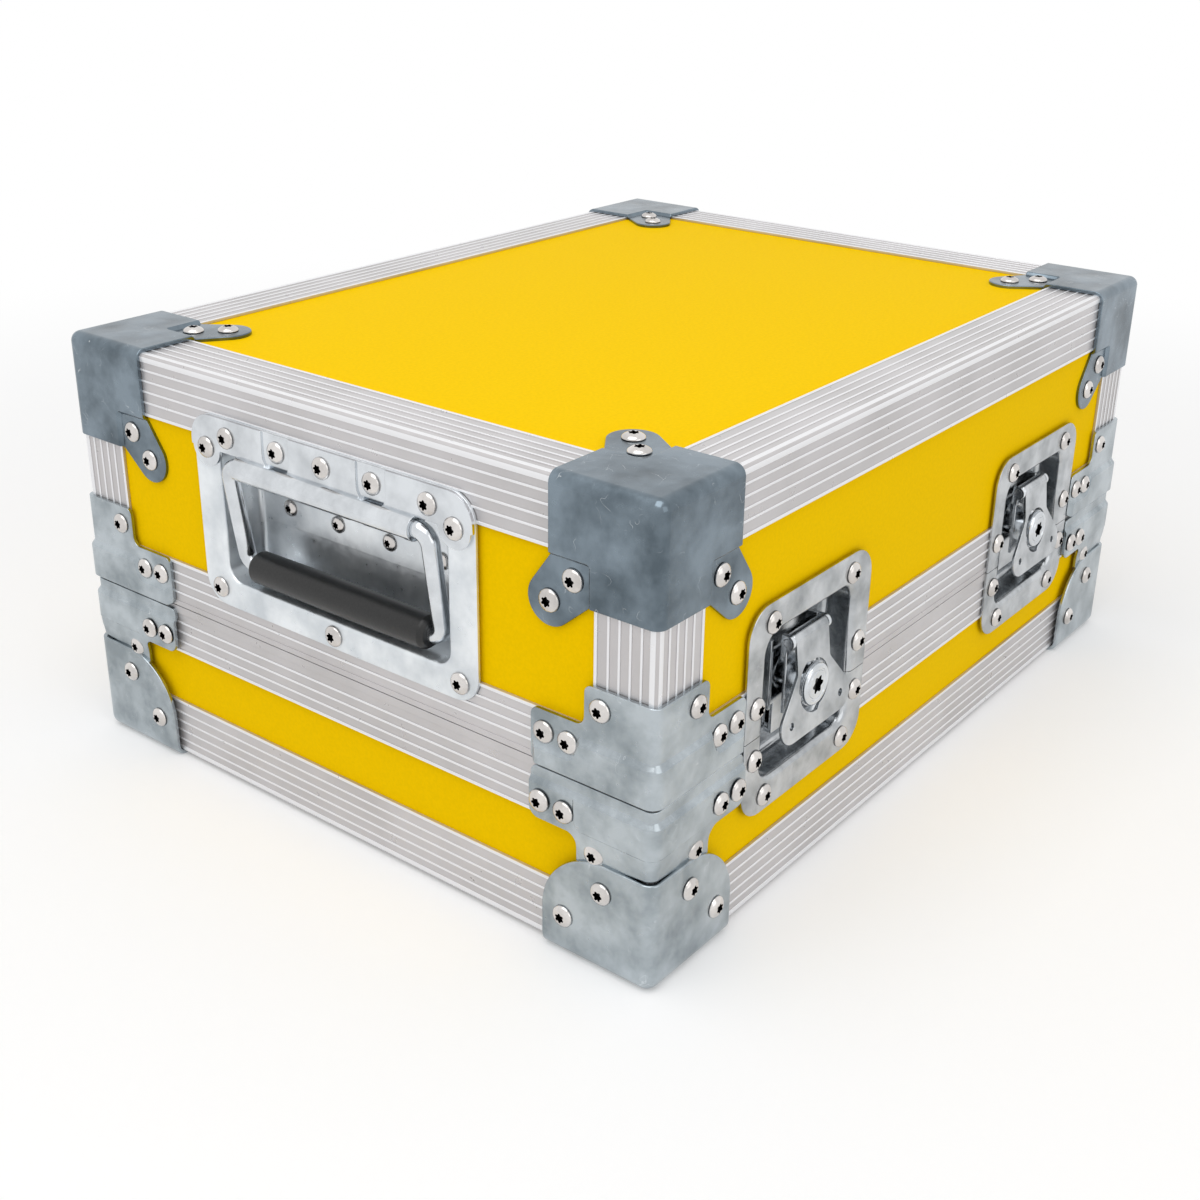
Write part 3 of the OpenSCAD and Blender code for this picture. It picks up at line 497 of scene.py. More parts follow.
def add_piece(name, bm, body, slot, material=None, stands_for=(), sharp=32):
    """Turns a bmesh in millimetres into a finished piece on its body."""
    bmesh.ops.scale(bm, vec=(MM, MM, MM), verts=bm.verts)
    mesh = bpy.data.meshes.new(name)
    bm.to_mesh(mesh)
    bm.free()
    crease(mesh, sharp)
    mesh.materials.append(material or finish_of[slot])
    piece = to_scene(name, mesh)
    even = piece.modifiers.new("even_normals", "WEIGHTED_NORMAL")
    even.keep_sharp = True
    even.weight = 60
    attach(piece, body)
    for node in stands_for:
        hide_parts(node)
    return piece


body_of_node = {n: o["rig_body"] for n, o in frame["nodes"].items()}
print("bodies:", sorted(set(body_of_node.values())))

# %% [markdown]
# Rolled, cast and extruded metal has no knife edges. A copy of the frame's node is cleaned up, flat
# faces are merged again, and each outer crease is rounded a little, which is what catches the light.

# %% Rounded copies
crease_from = math.radians(40)
same_plane = math.radians(0.6)
weld = 0.004


def round_off(bm, edges, by, clamp=True):
    """Rounds edges with a small bevel and returns its points."""
    return bmesh.ops.bevel(
        bm, geom=edges, offset=by, offset_type="OFFSET", segments=2, profile=0.5, affect="EDGES",
        clamp_overlap=clamp)["verts"]


def rounded_copy(node, rounding, material=None):
    """A copy of a node with its outer creases rounded, which stands for that node."""
    bm = bmesh.new()
    bm.from_mesh(frame["nodes"][node].data)
    bmesh.ops.scale(bm, vec=(1 / MM, 1 / MM, 1 / MM), verts=bm.verts)
    bmesh.ops.remove_doubles(bm, verts=bm.verts, dist=weld)
    bmesh.ops.recalc_face_normals(bm, faces=bm.faces)
    bmesh.ops.dissolve_limit(bm, angle_limit=same_plane, verts=bm.verts, edges=bm.edges)
    outer = [
        e for e in bm.edges
        if len(e.link_faces) == 2 and e.is_convex and e.calc_face_angle(0) > crease_from
    ]
    round_off(bm, outer, rounding, clamp=False)
    add_piece(node + "_finished", bm, body_of_node[node], slot_of[node], material, (node,))


rounding_of = {
    "bottom_edges_long": 0.3, "bottom_edges_short": 0.3, "top_edges_long": 0.3, "top_edges_short": 0.3,
    "base_posts": 0.3, "lid_posts": 0.3, "base_rails_long": 0.25, "base_rails_short": 0.25,
    "lid_rails_long": 0.25, "lid_rails_short": 0.25, "handle_hinge_plate": 0.25,
    "handle_back_plate": 0.3, "base_hinge_leaves": 0.3, "lid_hinge_leaves": 0.3,
}
for side in SIDES:
    for part in ("latch_base", "latch_claw", "latch_spindle"):
        rounding_of[f"{part}_{side}"] = 0.3
# the handle's back plate takes the lighter copy of the steel, a painted light
for node, rounding in rounding_of.items():
    rounded_copy(node, rounding, material=dish_steel_painted_light if node == "handle_back_plate" else None)
print(len(rounding_of), "rounded copies")

# %% [markdown]
# Corners and braces are pressed from one sheet. The sheet's outline is drawn flat, as the blank is
# cut: a list of corners, each with its own radius.

# %% Flat outlines
def rounded(corners, steps=7):
    """A closed outline from corners (x, y, radius)."""
    made = []
    for i, (x, y, radius) in enumerate(corners):
        here = Vector((x, y))
        if radius <= 0:
            made.append(here)
            continue
        back = (Vector(corners[i - 1][:2]) - here).normalized()
        on = (Vector(corners[(i + 1) % len(corners)][:2]) - here).normalized()
        half = math.acos(max(-1.0, min(1.0, back.dot(on)))) / 2
        centre = here + (back + on).normalized() * (radius / math.sin(half))
        first = here + back * (radius / math.tan(half)) - centre
        last = here + on * (radius / math.tan(half)) - centre
        begin = math.atan2(first.y, first.x)
        sweep = (math.atan2(last.y, last.x) - begin + math.pi) % (2 * math.pi) - math.pi
        for k in range(steps + 1):
            angle = begin + sweep * k / steps
            made.append(centre + radius * Vector((math.cos(angle), math.sin(angle))))
    return made


def area_of(outline):
    """Signed area: positive when the outline runs anticlockwise."""
    return sum(a.x * b.y - b.x * a.y for a, b in zip(outline, outline[1:] + outline[:1])) / 2


def inset(outline, by):
    """The outline moved inwards by a distance, with mitred corners."""
    turn = 1 if area_of(outline) > 0 else -1
    made = []
    for i, here in enumerate(outline):
        back = (here - outline[i - 1]).normalized()
        on = (outline[(i + 1) % len(outline)] - here).normalized()
        n1, n2 = Vector((-back.y, back.x)) * turn, Vector((-on.y, on.x)) * turn
        made.append(here + (n1 + n2) * (by / max(0.2, 1 + n1.dot(n2))))
    return made


def holds(outline, p):
    """Whether a point is inside an outline."""
    inside = False
    for a, b in zip(outline, outline[1:] + outline[:1]):
        if (a.y > p.y) != (b.y > p.y) and p.x < (b.x - a.x) * (p.y - a.y) / (b.y - a.y) + a.x:
            inside = not inside
    return inside


def depth_in(outline, p):
    """Distance from a point to the outline, negative outside it."""
    near = min(
        (p - geometry.intersect_point_line(p, a, b)[0]).length
        if 0 <= geometry.intersect_point_line(p, a, b)[1] <= 1 else min((p - a).length, (p - b).length)
        for a, b in zip(outline, outline[1:] + outline[:1]))
    return near if holds(outline, p) else -near


sample = rounded([(0, 0, 3), (40, 0, 3), (40, 20, 3), (0, 20, 3)])
print("rounded outline of", len(sample), "points, area", round(area_of(sample), 1), "mm2")

# %% [markdown]
# The blank is then filled with triangles whose edges follow the outline, the fold lines and the foot
# and top of each pressed bevel, so that every line in the sheet is a real one. Delaunay
# triangulation with fixed edges does this in one call.

# %% Filling a blank
def fill_blank(outline, loops, lines, keep):
    """Points and triangles of the outline, split along loops and lines, where keep(point) is true."""
    points, edges = [], []
    for loop in [outline, *loops]:
        start = len(points)
        points += loop
        edges += [(start + i, start + (i + 1) % len(loop)) for i in range(len(loop))]
    for a, b in lines:
        edges.append((len(points), len(points) + 1))
        points += [Vector(a), Vector(b)]
    out, _, faces, *_ = geometry.delaunay_2d_cdt(points, edges, [], 0, 0.0005)
    kept = []
    for face in faces:
        middle = sum((out[i] for i in face), Vector((0, 0))) / len(face)
        if keep(middle) and holds(outline, middle):
            kept.append(tuple(face))
    return out, kept


def soft_step(share):
    """0 to 1 with a soft foot and a soft top."""
    share = max(0.0, min(1.0, share))
    return share * share * (3 - 2 * share)


STEP_SHARES = (0.0, 0.14, 0.32, 0.68, 0.86, 1.0)
points, faces = fill_blank(sample, [inset(sample, 2)], [((10, -5), (10, 25))], lambda p: True)
print("a sample blank:", len(points), "points,", len(faces), "triangles")

# %% [markdown]
# A blank is folded round the case's corner by one rule. A point on a sharp box is pulled towards a
# smaller box inside it until it lies one bend radius away, which leaves flat faces flat and turns
# edges and corners into round ones. Pressed relief then stands along the same direction. The outer
# rim is rolled, and a second skin one thickness behind closes the sheet.

# %% Folding a blank
def fold_sheet(bm, faces_of, planes, bend, thick, rim, to_world, round_top):
    """Adds one folded sheet. faces_of holds (axes, outline, loops, relief) for each of its faces."""
    rim_angles = [math.radians(a) for a in (0, 30, 60, 90)]
    fold_at = [bend * (1 - math.tan(math.radians(45 * k / 5))) for k in range(6)]
    far = 200.0

    def place(axes, p, height):
        sharp = Vector((0, 0, 0))
        sharp[axes[0]], sharp[axes[1]] = p.x, p.y
        core = Vector([max(v, bend) if i < 2 or round_top else v for i, v in enumerate(sharp)])
        out = (sharp - core).normalized()
        return to_world(core + out * (bend + height) - Vector(planes))

    for axes, outline, loops, relief in faces_of:
        folds = [i for i in (0, 1) if axes[i] < 2 or round_top]
        rings = [inset(outline, rim * (1 - math.cos(a))) for a in rim_angles[1:]]
        lines = []
        for i in folds:
            for at in fold_at:
                a, b = [at, at], [at, at]
                a[1 - i], b[1 - i] = -far, far
                lines.append((a, b))
        points, tris = fill_blank(
            outline, rings + loops, lines, lambda p: all(p[i] > 0 for i in folds))
        used = sorted({i for t in tris for i in t})
        front, back = {}, {}
        for i in used:
            p = points[i]
            level = relief(p)
            depth = depth_in(outline, p)
            drop = rim - math.sqrt(max(0.0, rim**2 - (rim - max(depth, 0.0)) ** 2)) if depth < rim else 0
            front[i] = bm.verts.new(place(axes, p, level - drop))
            back[i] = bm.verts.new(place(axes, p, level - thick))
        count = {}
        for t in tris:
            bm.faces.new([front[i] for i in t])
            bm.faces.new([back[i] for i in reversed(t)])
            for a, b in zip(t, t[1:] + t[:1]):
                count.setdefault(frozenset((a, b)), []).append((a, b))
        for (a, b), *more in count.values():
            on_fold = any(abs(points[a][i]) < 0.002 and abs(points[b][i]) < 0.002 for i in folds)
            if not more and not on_fold:
                bm.faces.new([front[b], front[a], back[a], back[b]])


def at_corners(level, way):
    """The case's four corners as ways to place a point: level is a height, way is 1 up or -1 down."""
    def corner(sx, sy):
        return lambda p: Vector((sx * (half_w - p.x), sy * (half_d - p.y), level + way * p.z))
    return [corner(sx, sy) for sx in (-1, 1) for sy in (-1, 1)]


def corner_set(name, faces_of, planes, bend, thick, rim, places, round_top, stands_for, finish=None):
    """Four equal pieces, one at each corner, as one mesh that stands for a node."""
    bm = bmesh.new()
    for to_world in places:
        fold_sheet(bm, faces_of, planes, bend, thick, rim, to_world, round_top)
    bmesh.ops.remove_doubles(bm, verts=bm.verts, dist=0.003)
    close_up(name, bm)
    add_piece(name, bm, body_of_node[stands_for], "zinc_steel", finish, (stands_for,))


FACE_LONG, FACE_SHORT, FACE_TOP = (0, 2), (1, 2), (0, 1)
print("corner helpers ready")

# %% [markdown]
# The top corner covers all three edges and has a lug on each face. The lug lies on the laminate,
# one step lower than the flanges, which lie over the ribs. The step is a soft S along the inside of
# the flanges.

# %% Top corners
cap_reach = 51.0
cap_drop = 49.0
cap_step_from = leg_w + 0.5
cap_step_w = 2.0
cap_step_r = 2.2
past_lug = 90.0
lug_far = 51.5
lug_r = 11.0
past_fold = 12.0
cap_bend = 5.0
cap_rim = 0.5


def lug_touch(corner, side):
    """Where a line from a corner touches the lug's round end."""
    centre = Vector((lug_far, lug_far))
    away = Vector(corner) - centre
    angle = math.atan2(away.y, away.x) + side * math.acos(lug_r / away.length)
    return centre + lug_r * Vector((math.cos(angle), math.sin(angle)))


def cap_outline(drop):
    """One face of a top corner, measured from its folds."""
    inner = leg_w + steel_t
    low, high = (cap_reach, inner), (inner, drop)
    a, b = lug_touch(low, 1), lug_touch(high, -1)
    centre = Vector((lug_far, lug_far))
    begin, end = (math.atan2(*reversed(p - centre)) for p in (a, b))
    end = end if end > begin else end + 2 * math.pi
    round_end = [
        centre + lug_r * Vector((math.cos(t), math.sin(t)))
        for t in (begin + (end - begin) * k / 24 for k in range(25))]
    flat = [
        Vector((-past_fold, -past_fold)), Vector((cap_reach, -past_fold)), Vector(low),
        *round_end, Vector(high), Vector((-past_fold, drop))]
    return flat[:1] + [p + Vector((steel_t, steel_t)) for p in flat[1:]]


def step_loops():
    """Break lines of the step that runs along the inside of the flanges."""
    made = []
    for share in STEP_SHARES:
        at = cap_step_from + steel_t + share * cap_step_w
        made.append(rounded([
            (at, at, cap_step_r), (past_lug, at, 0), (past_lug, past_lug, 0), (at, past_lug, 0)]))
    return made


cap_loops = step_loops()


def cap_relief(p):
    """The lug lies lower than the flanges."""
    return -skin * soft_step(depth_in(cap_loops[0], p) / cap_step_w)


side_face, top_face = cap_outline(cap_drop), cap_outline(cap_reach)
# the top corners wear the darker copy of the zinc steel, a painted shade
corner_set(
    "top_corners",
    [(FACE_LONG, side_face, cap_loops, cap_relief), (FACE_SHORT, side_face, cap_loops, cap_relief),
     (FACE_TOP, top_face, cap_loops, cap_relief)],
    (steel_t, steel_t, steel_t), cap_bend, steel_t, cap_rim, at_corners(top_z, -1), True, "top_caps",
    zinc_steel_painted_shade)

# %% [markdown]
# The lid's brace has a shelf along the seam and a narrower neck up the edge. Its lower part is
# pressed outwards behind a bevel that steps down past the neck. A face's relief is how far a point
# lies inside the pressed area, as a share of the bevel's width.

# %% Braces on the lid
brace_reach = 60.0
brace_round = 3.5
brace_fillet = 4.5
brace_bend = 4.0
brace_rim = 0.45
shelf_h = 24.5
neck_h = 43.0
neck_w = 33.0
press_h = 1.8
bevel_w = 3.2
press_near_w = 35.5
press_near_h = 19.4
press_far_from = 38.6
press_far_h = 10.4
lid_brace_z = seam_z + 0.3


def brace_blank(low, high, shelf, reach, neck):
    """A blank with a shelf up to one height and a neck up to another, from the fold outwards."""
    p = steel_t
    return rounded([
        (-past_fold, low, 0), (reach + p, low, brace_round), (reach + p, shelf, brace_round),
        (neck + p, shelf, brace_fillet), (neck + p, high, brace_round), (-past_fold, high, 0)])


def bevel_loops(area, width):
    """Break lines of a bevel along the rim of a pressed area."""
    return [inset(area, s * width) for s in STEP_SHARES]


far_away = 120.0
lid_press = rounded([
    (-far_away, -far_away, 0), (brace_reach + 2.6, -far_away, 0), (brace_reach + 1.2, press_far_h, 1.0),
    (press_far_from + steel_t + 0.6, press_far_h, 2.4), (press_near_w + steel_t, press_near_h, 0.8),
    (-far_away, press_near_h, 0)])


def lid_brace_relief(p):
    """Height of the pressed part of the lid's brace."""
    return press_h * soft_step(depth_in(lid_press, p) / bevel_w)


lid_blank = brace_blank(0.0, neck_h, shelf_h, brace_reach, neck_w)
lid_loops = bevel_loops(lid_press, bevel_w)
corner_set(
    "lid_corner_braces",
    [(axes, lid_blank, lid_loops, lid_brace_relief) for axes in (FACE_LONG, FACE_SHORT)],
    (steel_t, steel_t, 0), brace_bend, steel_t, brace_rim, at_corners(lid_brace_z, 1), False, "lid_braces")

# %% [markdown]
# On the base the bevel runs straight along the seam, and everything below it is pressed out. Beside
# the edge a second, very shallow press shows as one fine line, and the neck fades back to the edge
# before it goes under the bottom corner. Its end is relieved at the fold, which leaves a dark wedge.

# %% Braces on the base
base_strip_from = 1.5
base_bevel_from = 6.0
base_shelf_h = 25.0
base_neck_h = 38.0
base_neck_w = 36.0
fine_w = 37.0
fine_low = 23.0
fine_round = 5.0
fine_step = 0.3
fine_bevel = 0.7
fade_from = 24.0
fade_to = 33.0
fade_levels = (fade_from, 26.5, 29.0, 31.0, fade_to)
relief_cut = 33.0
base_press_h = 1.5

base_press = rounded([
    (-far_away, base_bevel_from, 0), (far_away, base_bevel_from, 0), (far_away, far_away, 0),
    (-far_away, far_away, 0)])
fine_press = rounded([
    (-far_away, -far_away, 0), (fine_w + steel_t, -far_away, 0), (fine_w + steel_t, fine_low, fine_round),
    (-far_away, fine_low, 0)])


def base_brace_relief(p):
    """Height of the pressed part of the base's brace, measured down from the seam."""
    pressed = soft_step((p.y - base_bevel_from) / bevel_w)
    fine = soft_step(depth_in(fine_press, p) / fine_bevel)
    fade = soft_step((p.y - fade_from) / (fade_to - fade_from))
    return base_press_h * pressed * (1 - 0.75 * fade) + fine_step * fine * pressed


base_blank = rounded([
    (-past_fold, base_strip_from, 0), (brace_reach + steel_t, base_strip_from, brace_round),
    (brace_reach + steel_t, base_shelf_h, 5.0), (base_neck_w + steel_t, base_shelf_h, brace_fillet),
    (base_neck_w + steel_t, base_neck_h, 0), (24.0, base_neck_h, 0), (21.0, relief_cut + 1.5, 2.0),
    (2.0, relief_cut, 0), (-past_fold, relief_cut, 0)])
base_loops = bevel_loops(base_press, bevel_w) + bevel_loops(fine_press, fine_bevel)
for level in fade_levels:
    base_loops.append([Vector((-far_away, level)), Vector((far_away, level)), Vector((far_away, far_away))])
corner_set(
    "base_corner_braces",
    [(axes, base_blank, base_loops, base_brace_relief) for axes in (FACE_LONG, FACE_SHORT)],
    (steel_t, steel_t, 0), brace_bend, steel_t, brace_rim, at_corners(seam_z, -1), False, "base_braces")

# %% [markdown]
# The bottom corner is a deeper cup with wide round ends. It stands proud of the edge and of the
# brace's neck that goes under it, and rounds off softly to the foot it stands on.

# %% Bottom corners
foot_proud = 3.6
foot_w = 53.0
foot_h = 50.0
foot_round = 32.0
foot_bend = 6.0
foot_rim = 0.9
foot_thick = 2.0


def foot_face(high):
    """One face of the cup, from its folds to its round end."""
    wide = foot_w + foot_proud
    return rounded([
        (-past_fold, -past_fold, 0), (wide, -past_fold, 0), (wide, high, foot_round),
        (-past_fold, high, 0)], 20)


foot_heights = ((FACE_LONG, foot_h + floor_z), (FACE_SHORT, foot_h + floor_z), (FACE_TOP, foot_w + foot_proud))
corner_set(
    "bottom_corners", [(axes, foot_face(high), [], lambda p: 0.0) for axes, high in foot_heights],
    (foot_proud, foot_proud, floor_z), foot_bend, foot_thick, foot_rim, at_corners(floor_z, 1), True,
    "bottom_caps")

# %% [markdown]
# The case is held together by more than a hundred equal button head screws. One head is modelled
# with care: a low dome, a fine shadow gap under its rim and a star socket. Its rings of points are
# joined one to the next, as on a lathe, and the socket's rings are pulled into a star.

# %% One screw head
ring_points = 48
head_rings = [
    (4.6, 0.0, 0), (5.0, 0.3, 0), (4.98, 0.62, 0), (4.62, 1.12, 0), (3.95, 1.62, 0), (3.1, 2.05, 0),
    (2.6, 2.25, 0), (2.25, 2.36, 0), (2.04, 2.36, 0.16), (1.98, 2.25, 0.2), (1.9, 0.8, 0.22)]


def lathe_rings(bm, rings, count, close_ends=True):
    """Rings (radius, height, star) joined into a closed body round the Z axis."""
    made = []
    for radius, height, star in rings:
        made.append([
            bm.verts.new((
                radius * (1 + star * math.cos(6 * t)) * math.cos(t),
                radius * (1 + star * math.cos(6 * t)) * math.sin(t), height))
            for t in (2 * math.pi * k / count for k in range(count))])
    for low, high in zip(made, made[1:]):
        for k in range(count):
            n = (k + 1) % count
            bm.faces.new((low[k], low[n], high[n], high[k]))
    if close_ends:
        bm.faces.new(reversed(made[0]))
        bm.faces.new(made[-1])
    return made


bm = bmesh.new()
lathe_rings(bm, head_rings, ring_points)
bmesh.ops.scale(bm, vec=(MM, MM, MM), verts=bm.verts)
bmesh.ops.recalc_face_normals(bm, faces=bm.faces)
head_mesh = bpy.data.meshes.new("screw_head")
bm.to_mesh(head_mesh)
bm.free()


def mark_socket_shade(mesh, count, rings):
    """Marks the last rings of a lathed mesh, its socket, so that its finish paints them with painted shade."""
    socket_shade = mesh.attributes.new("socket", "FLOAT", "POINT")
    first = len(mesh.vertices) - rings * count
    socket_shade.data.foreach_set("value", [float(k >= first) for k in range(len(mesh.vertices))])


# the socket rings of the head are marked for painted shade
mark_socket_shade(head_mesh, ring_points, 2)
crease(head_mesh, 42)
head_object = bpy.data.objects.new("screw_head", head_mesh)
print("one head:", len(head_mesh.polygons), "faces")

# %% [markdown]
# Where the screws go is read off the frame. Every head there is a small island of faces, flat along
# the way it faces, so its box gives its seat, its direction and its size. The order in which they
# are found isn't fixed, so chance turns the heads in another way on every run.

# %% Seats of the screws
def islands(node):
    """Boxes of the loose parts of a node, in millimetres."""
    bm = bmesh.new()
    bm.from_mesh(frame["nodes"][node].data)
    bmesh.ops.remove_doubles(bm, verts=bm.verts, dist=0.000004)
    left, found = set(bm.verts), []
    while left:
        group, open_set = [], [left.pop()]
        while open_set:
            vert = open_set.pop()
            group.append(vert.co / MM)
            for edge in vert.link_edges:
                other = edge.other_vert(vert)
                if other in left:
                    left.remove(other)
                    open_set.append(other)
        found.append((
            Vector([min(p[i] for p in group) for i in range(3)]),
            Vector([max(p[i] for p in group) for i in range(3)])))
    bm.free()
    return found


def screw_seats(node):
    """(seat, direction, size) of every screw of a node; size 1 is a head of the usual diameter."""
    seats = []
    for low, high in islands(node):
        size, middle = high - low, (low + high) / 2
        axis = min(range(3), key=lambda i: size[i])
        facing = Vector([0, 0, 0])
        facing[axis] = 1 if middle[axis] > (top_z / 2 if axis == 2 else 0) else -1
        seats.append((middle - facing * size[axis] / 2, facing, max(size) / screw_d))
    return seats


seats_of = {node: screw_seats(node) for node in ("base_screws", "lid_screws", "handle_screws")}
print({node: len(seats) for node, seats in seats_of.items()})

# %% [markdown]
# One more screw sits on the neck of each base brace, half covered by the rim of the bottom corner.
# It is too small and too much hidden to be worth a solid of its own, so it is added here.

# %% Screws under the bottom corners
hidden_u = 27.0
hidden_z = 54.0
hidden_out = 1.5
for sx in (-1, 1):
    for sy in (-1, 1):
        seats_of["base_screws"] += [
            (Vector((sx * (half_w - hidden_u), sy * (half_d + hidden_out), hidden_z)), Vector((0, sy, 0)), 1.0),
            (Vector((sx * (half_w + hidden_out), sy * (half_d - hidden_u), hidden_z)), Vector((sx, 0, 0)), 1.0)]
print(len(seats_of["base_screws"]), "screws on the base")

# %% [markdown]
# Geometry Nodes then puts a head on each seat, turned to face outwards and spun by chance, as
# fitted screws are. Its inputs are named, and the seed is fixed, so every run gives the same case.

# %% Geometry Nodes for the heads
def head_group():
    """A node group that places heads on points with a facing and a size."""
    group = bpy.data.node_groups.new("place_heads", "GeometryNodeTree")
    for name, kind in (("Geometry", "Geometry"), ("Head", "Object"), ("Finish", "Material"), ("Seed", "Int")):
        group.interface.new_socket(name, in_out="INPUT", socket_type="NodeSocket" + kind)
    group.interface.new_socket("Geometry", in_out="OUTPUT", socket_type="NodeSocketGeometry")
    new, link = group.nodes.new, group.links.new

    def named(name, kind):
        read = new("GeometryNodeInputNamedAttribute")
        read.data_type = kind
        read.inputs["Name"].default_value = name
        return read.outputs["Attribute"]

    given, result = new("NodeGroupInput"), new("NodeGroupOutput")
    head = new("GeometryNodeObjectInfo")
    link(given.outputs["Head"], head.inputs["Object"])
    aim = new("FunctionNodeAlignRotationToVector")
    aim.axis = "Z"
    link(named("facing", "FLOAT_VECTOR"), aim.inputs["Vector"])
    chance = new("FunctionNodeRandomValue")
    chance.data_type = "FLOAT"
    spin_inputs = {s.name: s for s in chance.inputs if s.enabled}
    spin_inputs["Max"].default_value = 2 * math.pi
    link(given.outputs["Seed"], spin_inputs["Seed"])
    spin = new("FunctionNodeAxisAngleToRotation")
    spin.inputs["Axis"].default_value = (0, 0, 1)
    link([s for s in chance.outputs if s.enabled][0], spin.inputs["Angle"])
    turned = new("FunctionNodeRotateRotation")
    turned.rotation_space = "LOCAL"
    link(aim.outputs["Rotation"], turned.inputs["Rotation"])
    link(spin.outputs["Rotation"], turned.inputs["Rotate By"])
    place = new("GeometryNodeInstanceOnPoints")
    link(given.outputs["Geometry"], place.inputs["Points"])
    link(head.outputs["Geometry"], place.inputs["Instance"])
    link(turned.outputs["Rotation"], place.inputs["Rotation"])
    link(named("size", "FLOAT"), place.inputs["Scale"])
    real = new("GeometryNodeRealizeInstances")
    link(place.outputs["Instances"], real.inputs["Geometry"])
    finish = new("GeometryNodeSetMaterial")
    link(real.outputs["Geometry"], finish.inputs["Geometry"])
    link(given.outputs["Finish"], finish.inputs["Material"])
    link(finish.outputs["Geometry"], result.inputs["Geometry"])
    return group


def place_heads(name, node, seed):
    """The screws of one node as one mesh on that node's body."""
    seats = seats_of[node]
    points = bpy.data.meshes.new(name)
    points.from_pydata([seat * MM for seat, _, _ in seats], [], [])
    facing = points.attributes.new("facing", "FLOAT_VECTOR", "POINT")
    facing.data.foreach_set("vector", [x for _, way, _ in seats for x in way])
    size = points.attributes.new("size", "FLOAT", "POINT")
    size.data.foreach_set("value", [share for _, _, share in seats])
    piece = to_scene(name, points)
    nodes = piece.modifiers.new("heads", "NODES")
    nodes.node_group = group_of_heads
    values = {"Head": head_object, "Finish": screw_steel, "Seed": seed}
    for item in group_of_heads.interface.items_tree:
        if item.in_out == "INPUT" and item.name in values:
            nodes[item.identifier] = values[item.name]
    bpy.context.view_layer.update()
    seen = piece.evaluated_get(bpy.context.evaluated_depsgraph_get())
    made = bpy.data.meshes.new_from_object(seen)
    piece.modifiers.clear()
    piece.data = made
    for face in made.polygons:
        face.material_index = 0
    made.materials.clear()
    made.materials.append(screw_steel)
    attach(piece, body_of_node[node])
    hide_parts(node)
    return piece


group_of_heads = head_group()
for number, node in enumerate(seats_of):
    piece = place_heads(node + "_heads", node, number + 3)
    print(piece.name, len(piece.data.polygons), "faces", [m.name for m in piece.data.materials])

# %% [markdown]
# The latch and handle dishes are drawn from one sheet: the rim runs over a rolled lip into the
# wall, and the wall over a fillet into the floor. That is a loft of rounded rectangles with the
# same number of points, from the back of the rim, over its front and down to the floor, and back
# up behind.

# %% Lofted dishes
rim_edge = 0.5


def rect_ring(half_x, half_z, radius, depth, middle, steps=8):
    """One ring of a loft: a rounded rectangle at a depth, seen along the depth."""
    corners = [(half_x, half_z), (-half_x, half_z), (-half_x, -half_z), (half_x, -half_z)]
    flat = rounded([(x, z + middle, max(radius, 0.2)) for x, z in corners], steps)
    return [Vector((p.x, depth, p.y)) for p in flat]


def dish_rings(rim, hole, depth, front, sheet, lip, fillet, middle):
    """Rings of a drawn dish. rim and hole are (half width, half height, radius)."""
    rings = [(*rim, front + sheet, 0.0)]
    for k in range(4):
        angle = math.radians(30 * k)
        less = rim_edge * (1 - math.cos(angle))
        rings.append((*(v - less for v in rim), front + rim_edge * (1 - math.sin(angle)), 0.0))
    for k in range(6):
        angle = math.radians(18 * k)
        more = lip * (1 - math.sin(angle))
        rings.append((*(v + more for v in hole), front + lip * (1 - math.cos(angle)), middle))
    for k in range(5):
        angle = math.radians(22.5 * k)
        less = fillet * (1 - math.cos(angle))
        rings.append((*(v - less for v in hole), depth - fillet * (1 - math.sin(angle)), middle))
    behind = [(*(v + sheet for v in hole), level + sheet, middle) for level in (depth, front)]
    return rings, behind


def loft(bm, front, behind, to_world):
    """Joins rings of equal count; the floor's ring is filled in front and behind."""
    made = [
        [bm.verts.new(to_world(p)) for p in rect_ring(x, z, r, y, m)] for x, z, r, y, m in front + behind]
    count = len(made[0])
    pairs = list(zip(made[:len(front)], made[1:len(front)])) + [(made[-2], made[-1]), (made[-1], made[0])]
    for low, high in pairs:
        for k in range(count):
            n = (k + 1) % count
            bm.faces.new((low[k], low[n], high[n], high[k]))
    bm.faces.new(made[len(front) - 1])
    bm.faces.new(list(reversed(made[len(front)])))


def block(bm, low, high, round_by, to_world):
    """A small block with rounded edges."""
    made = bmesh.ops.create_cube(bm, size=1)["verts"]
    for vert in made:
        vert.co = Vector([low[i] if vert.co[i] < 0 else high[i] for i in range(3)])
    edges = list({e for v in made for e in v.link_edges})
    for vert in {v for v in round_off(bm, edges, round_by) if v.is_valid}:
        vert.co = to_world(vert.co)


print("ring of", len(rect_ring(35, 34, 9, 0, 0)), "points")

# %% [markdown]
# A latch dish lies across the seam, so it is drawn whole and then cut in two. The upper half stays
# on the lid, and the lower half is the keeper, with the hook that the claw pulls on.

# %% Latch dishes
dish_sheet = 1.4
rim_half = 49.0
rim_round = 14.0
hole_half_x = 35.0
hole_half_z = 34.0
hole_round = 9.0
latch_depth = 15.0
latch_lip = 3.2
latch_fillet = 3.2
rim_face = half_d + dish_sheet
seam_gap = 0.3
hook_half = 12.0
hook_low = -21.4
hook_high = -11.9
hook_bar = 2.0
hook_sheet = 1.5
hook_from = 11.9


def latch_middle(side):
    """Where a latch sits along x and z: the middle of its dish."""
    low, high = box_mm(f"latch_dish_{side}")
    return (low.x + high.x) / 2, high.z - rim_half


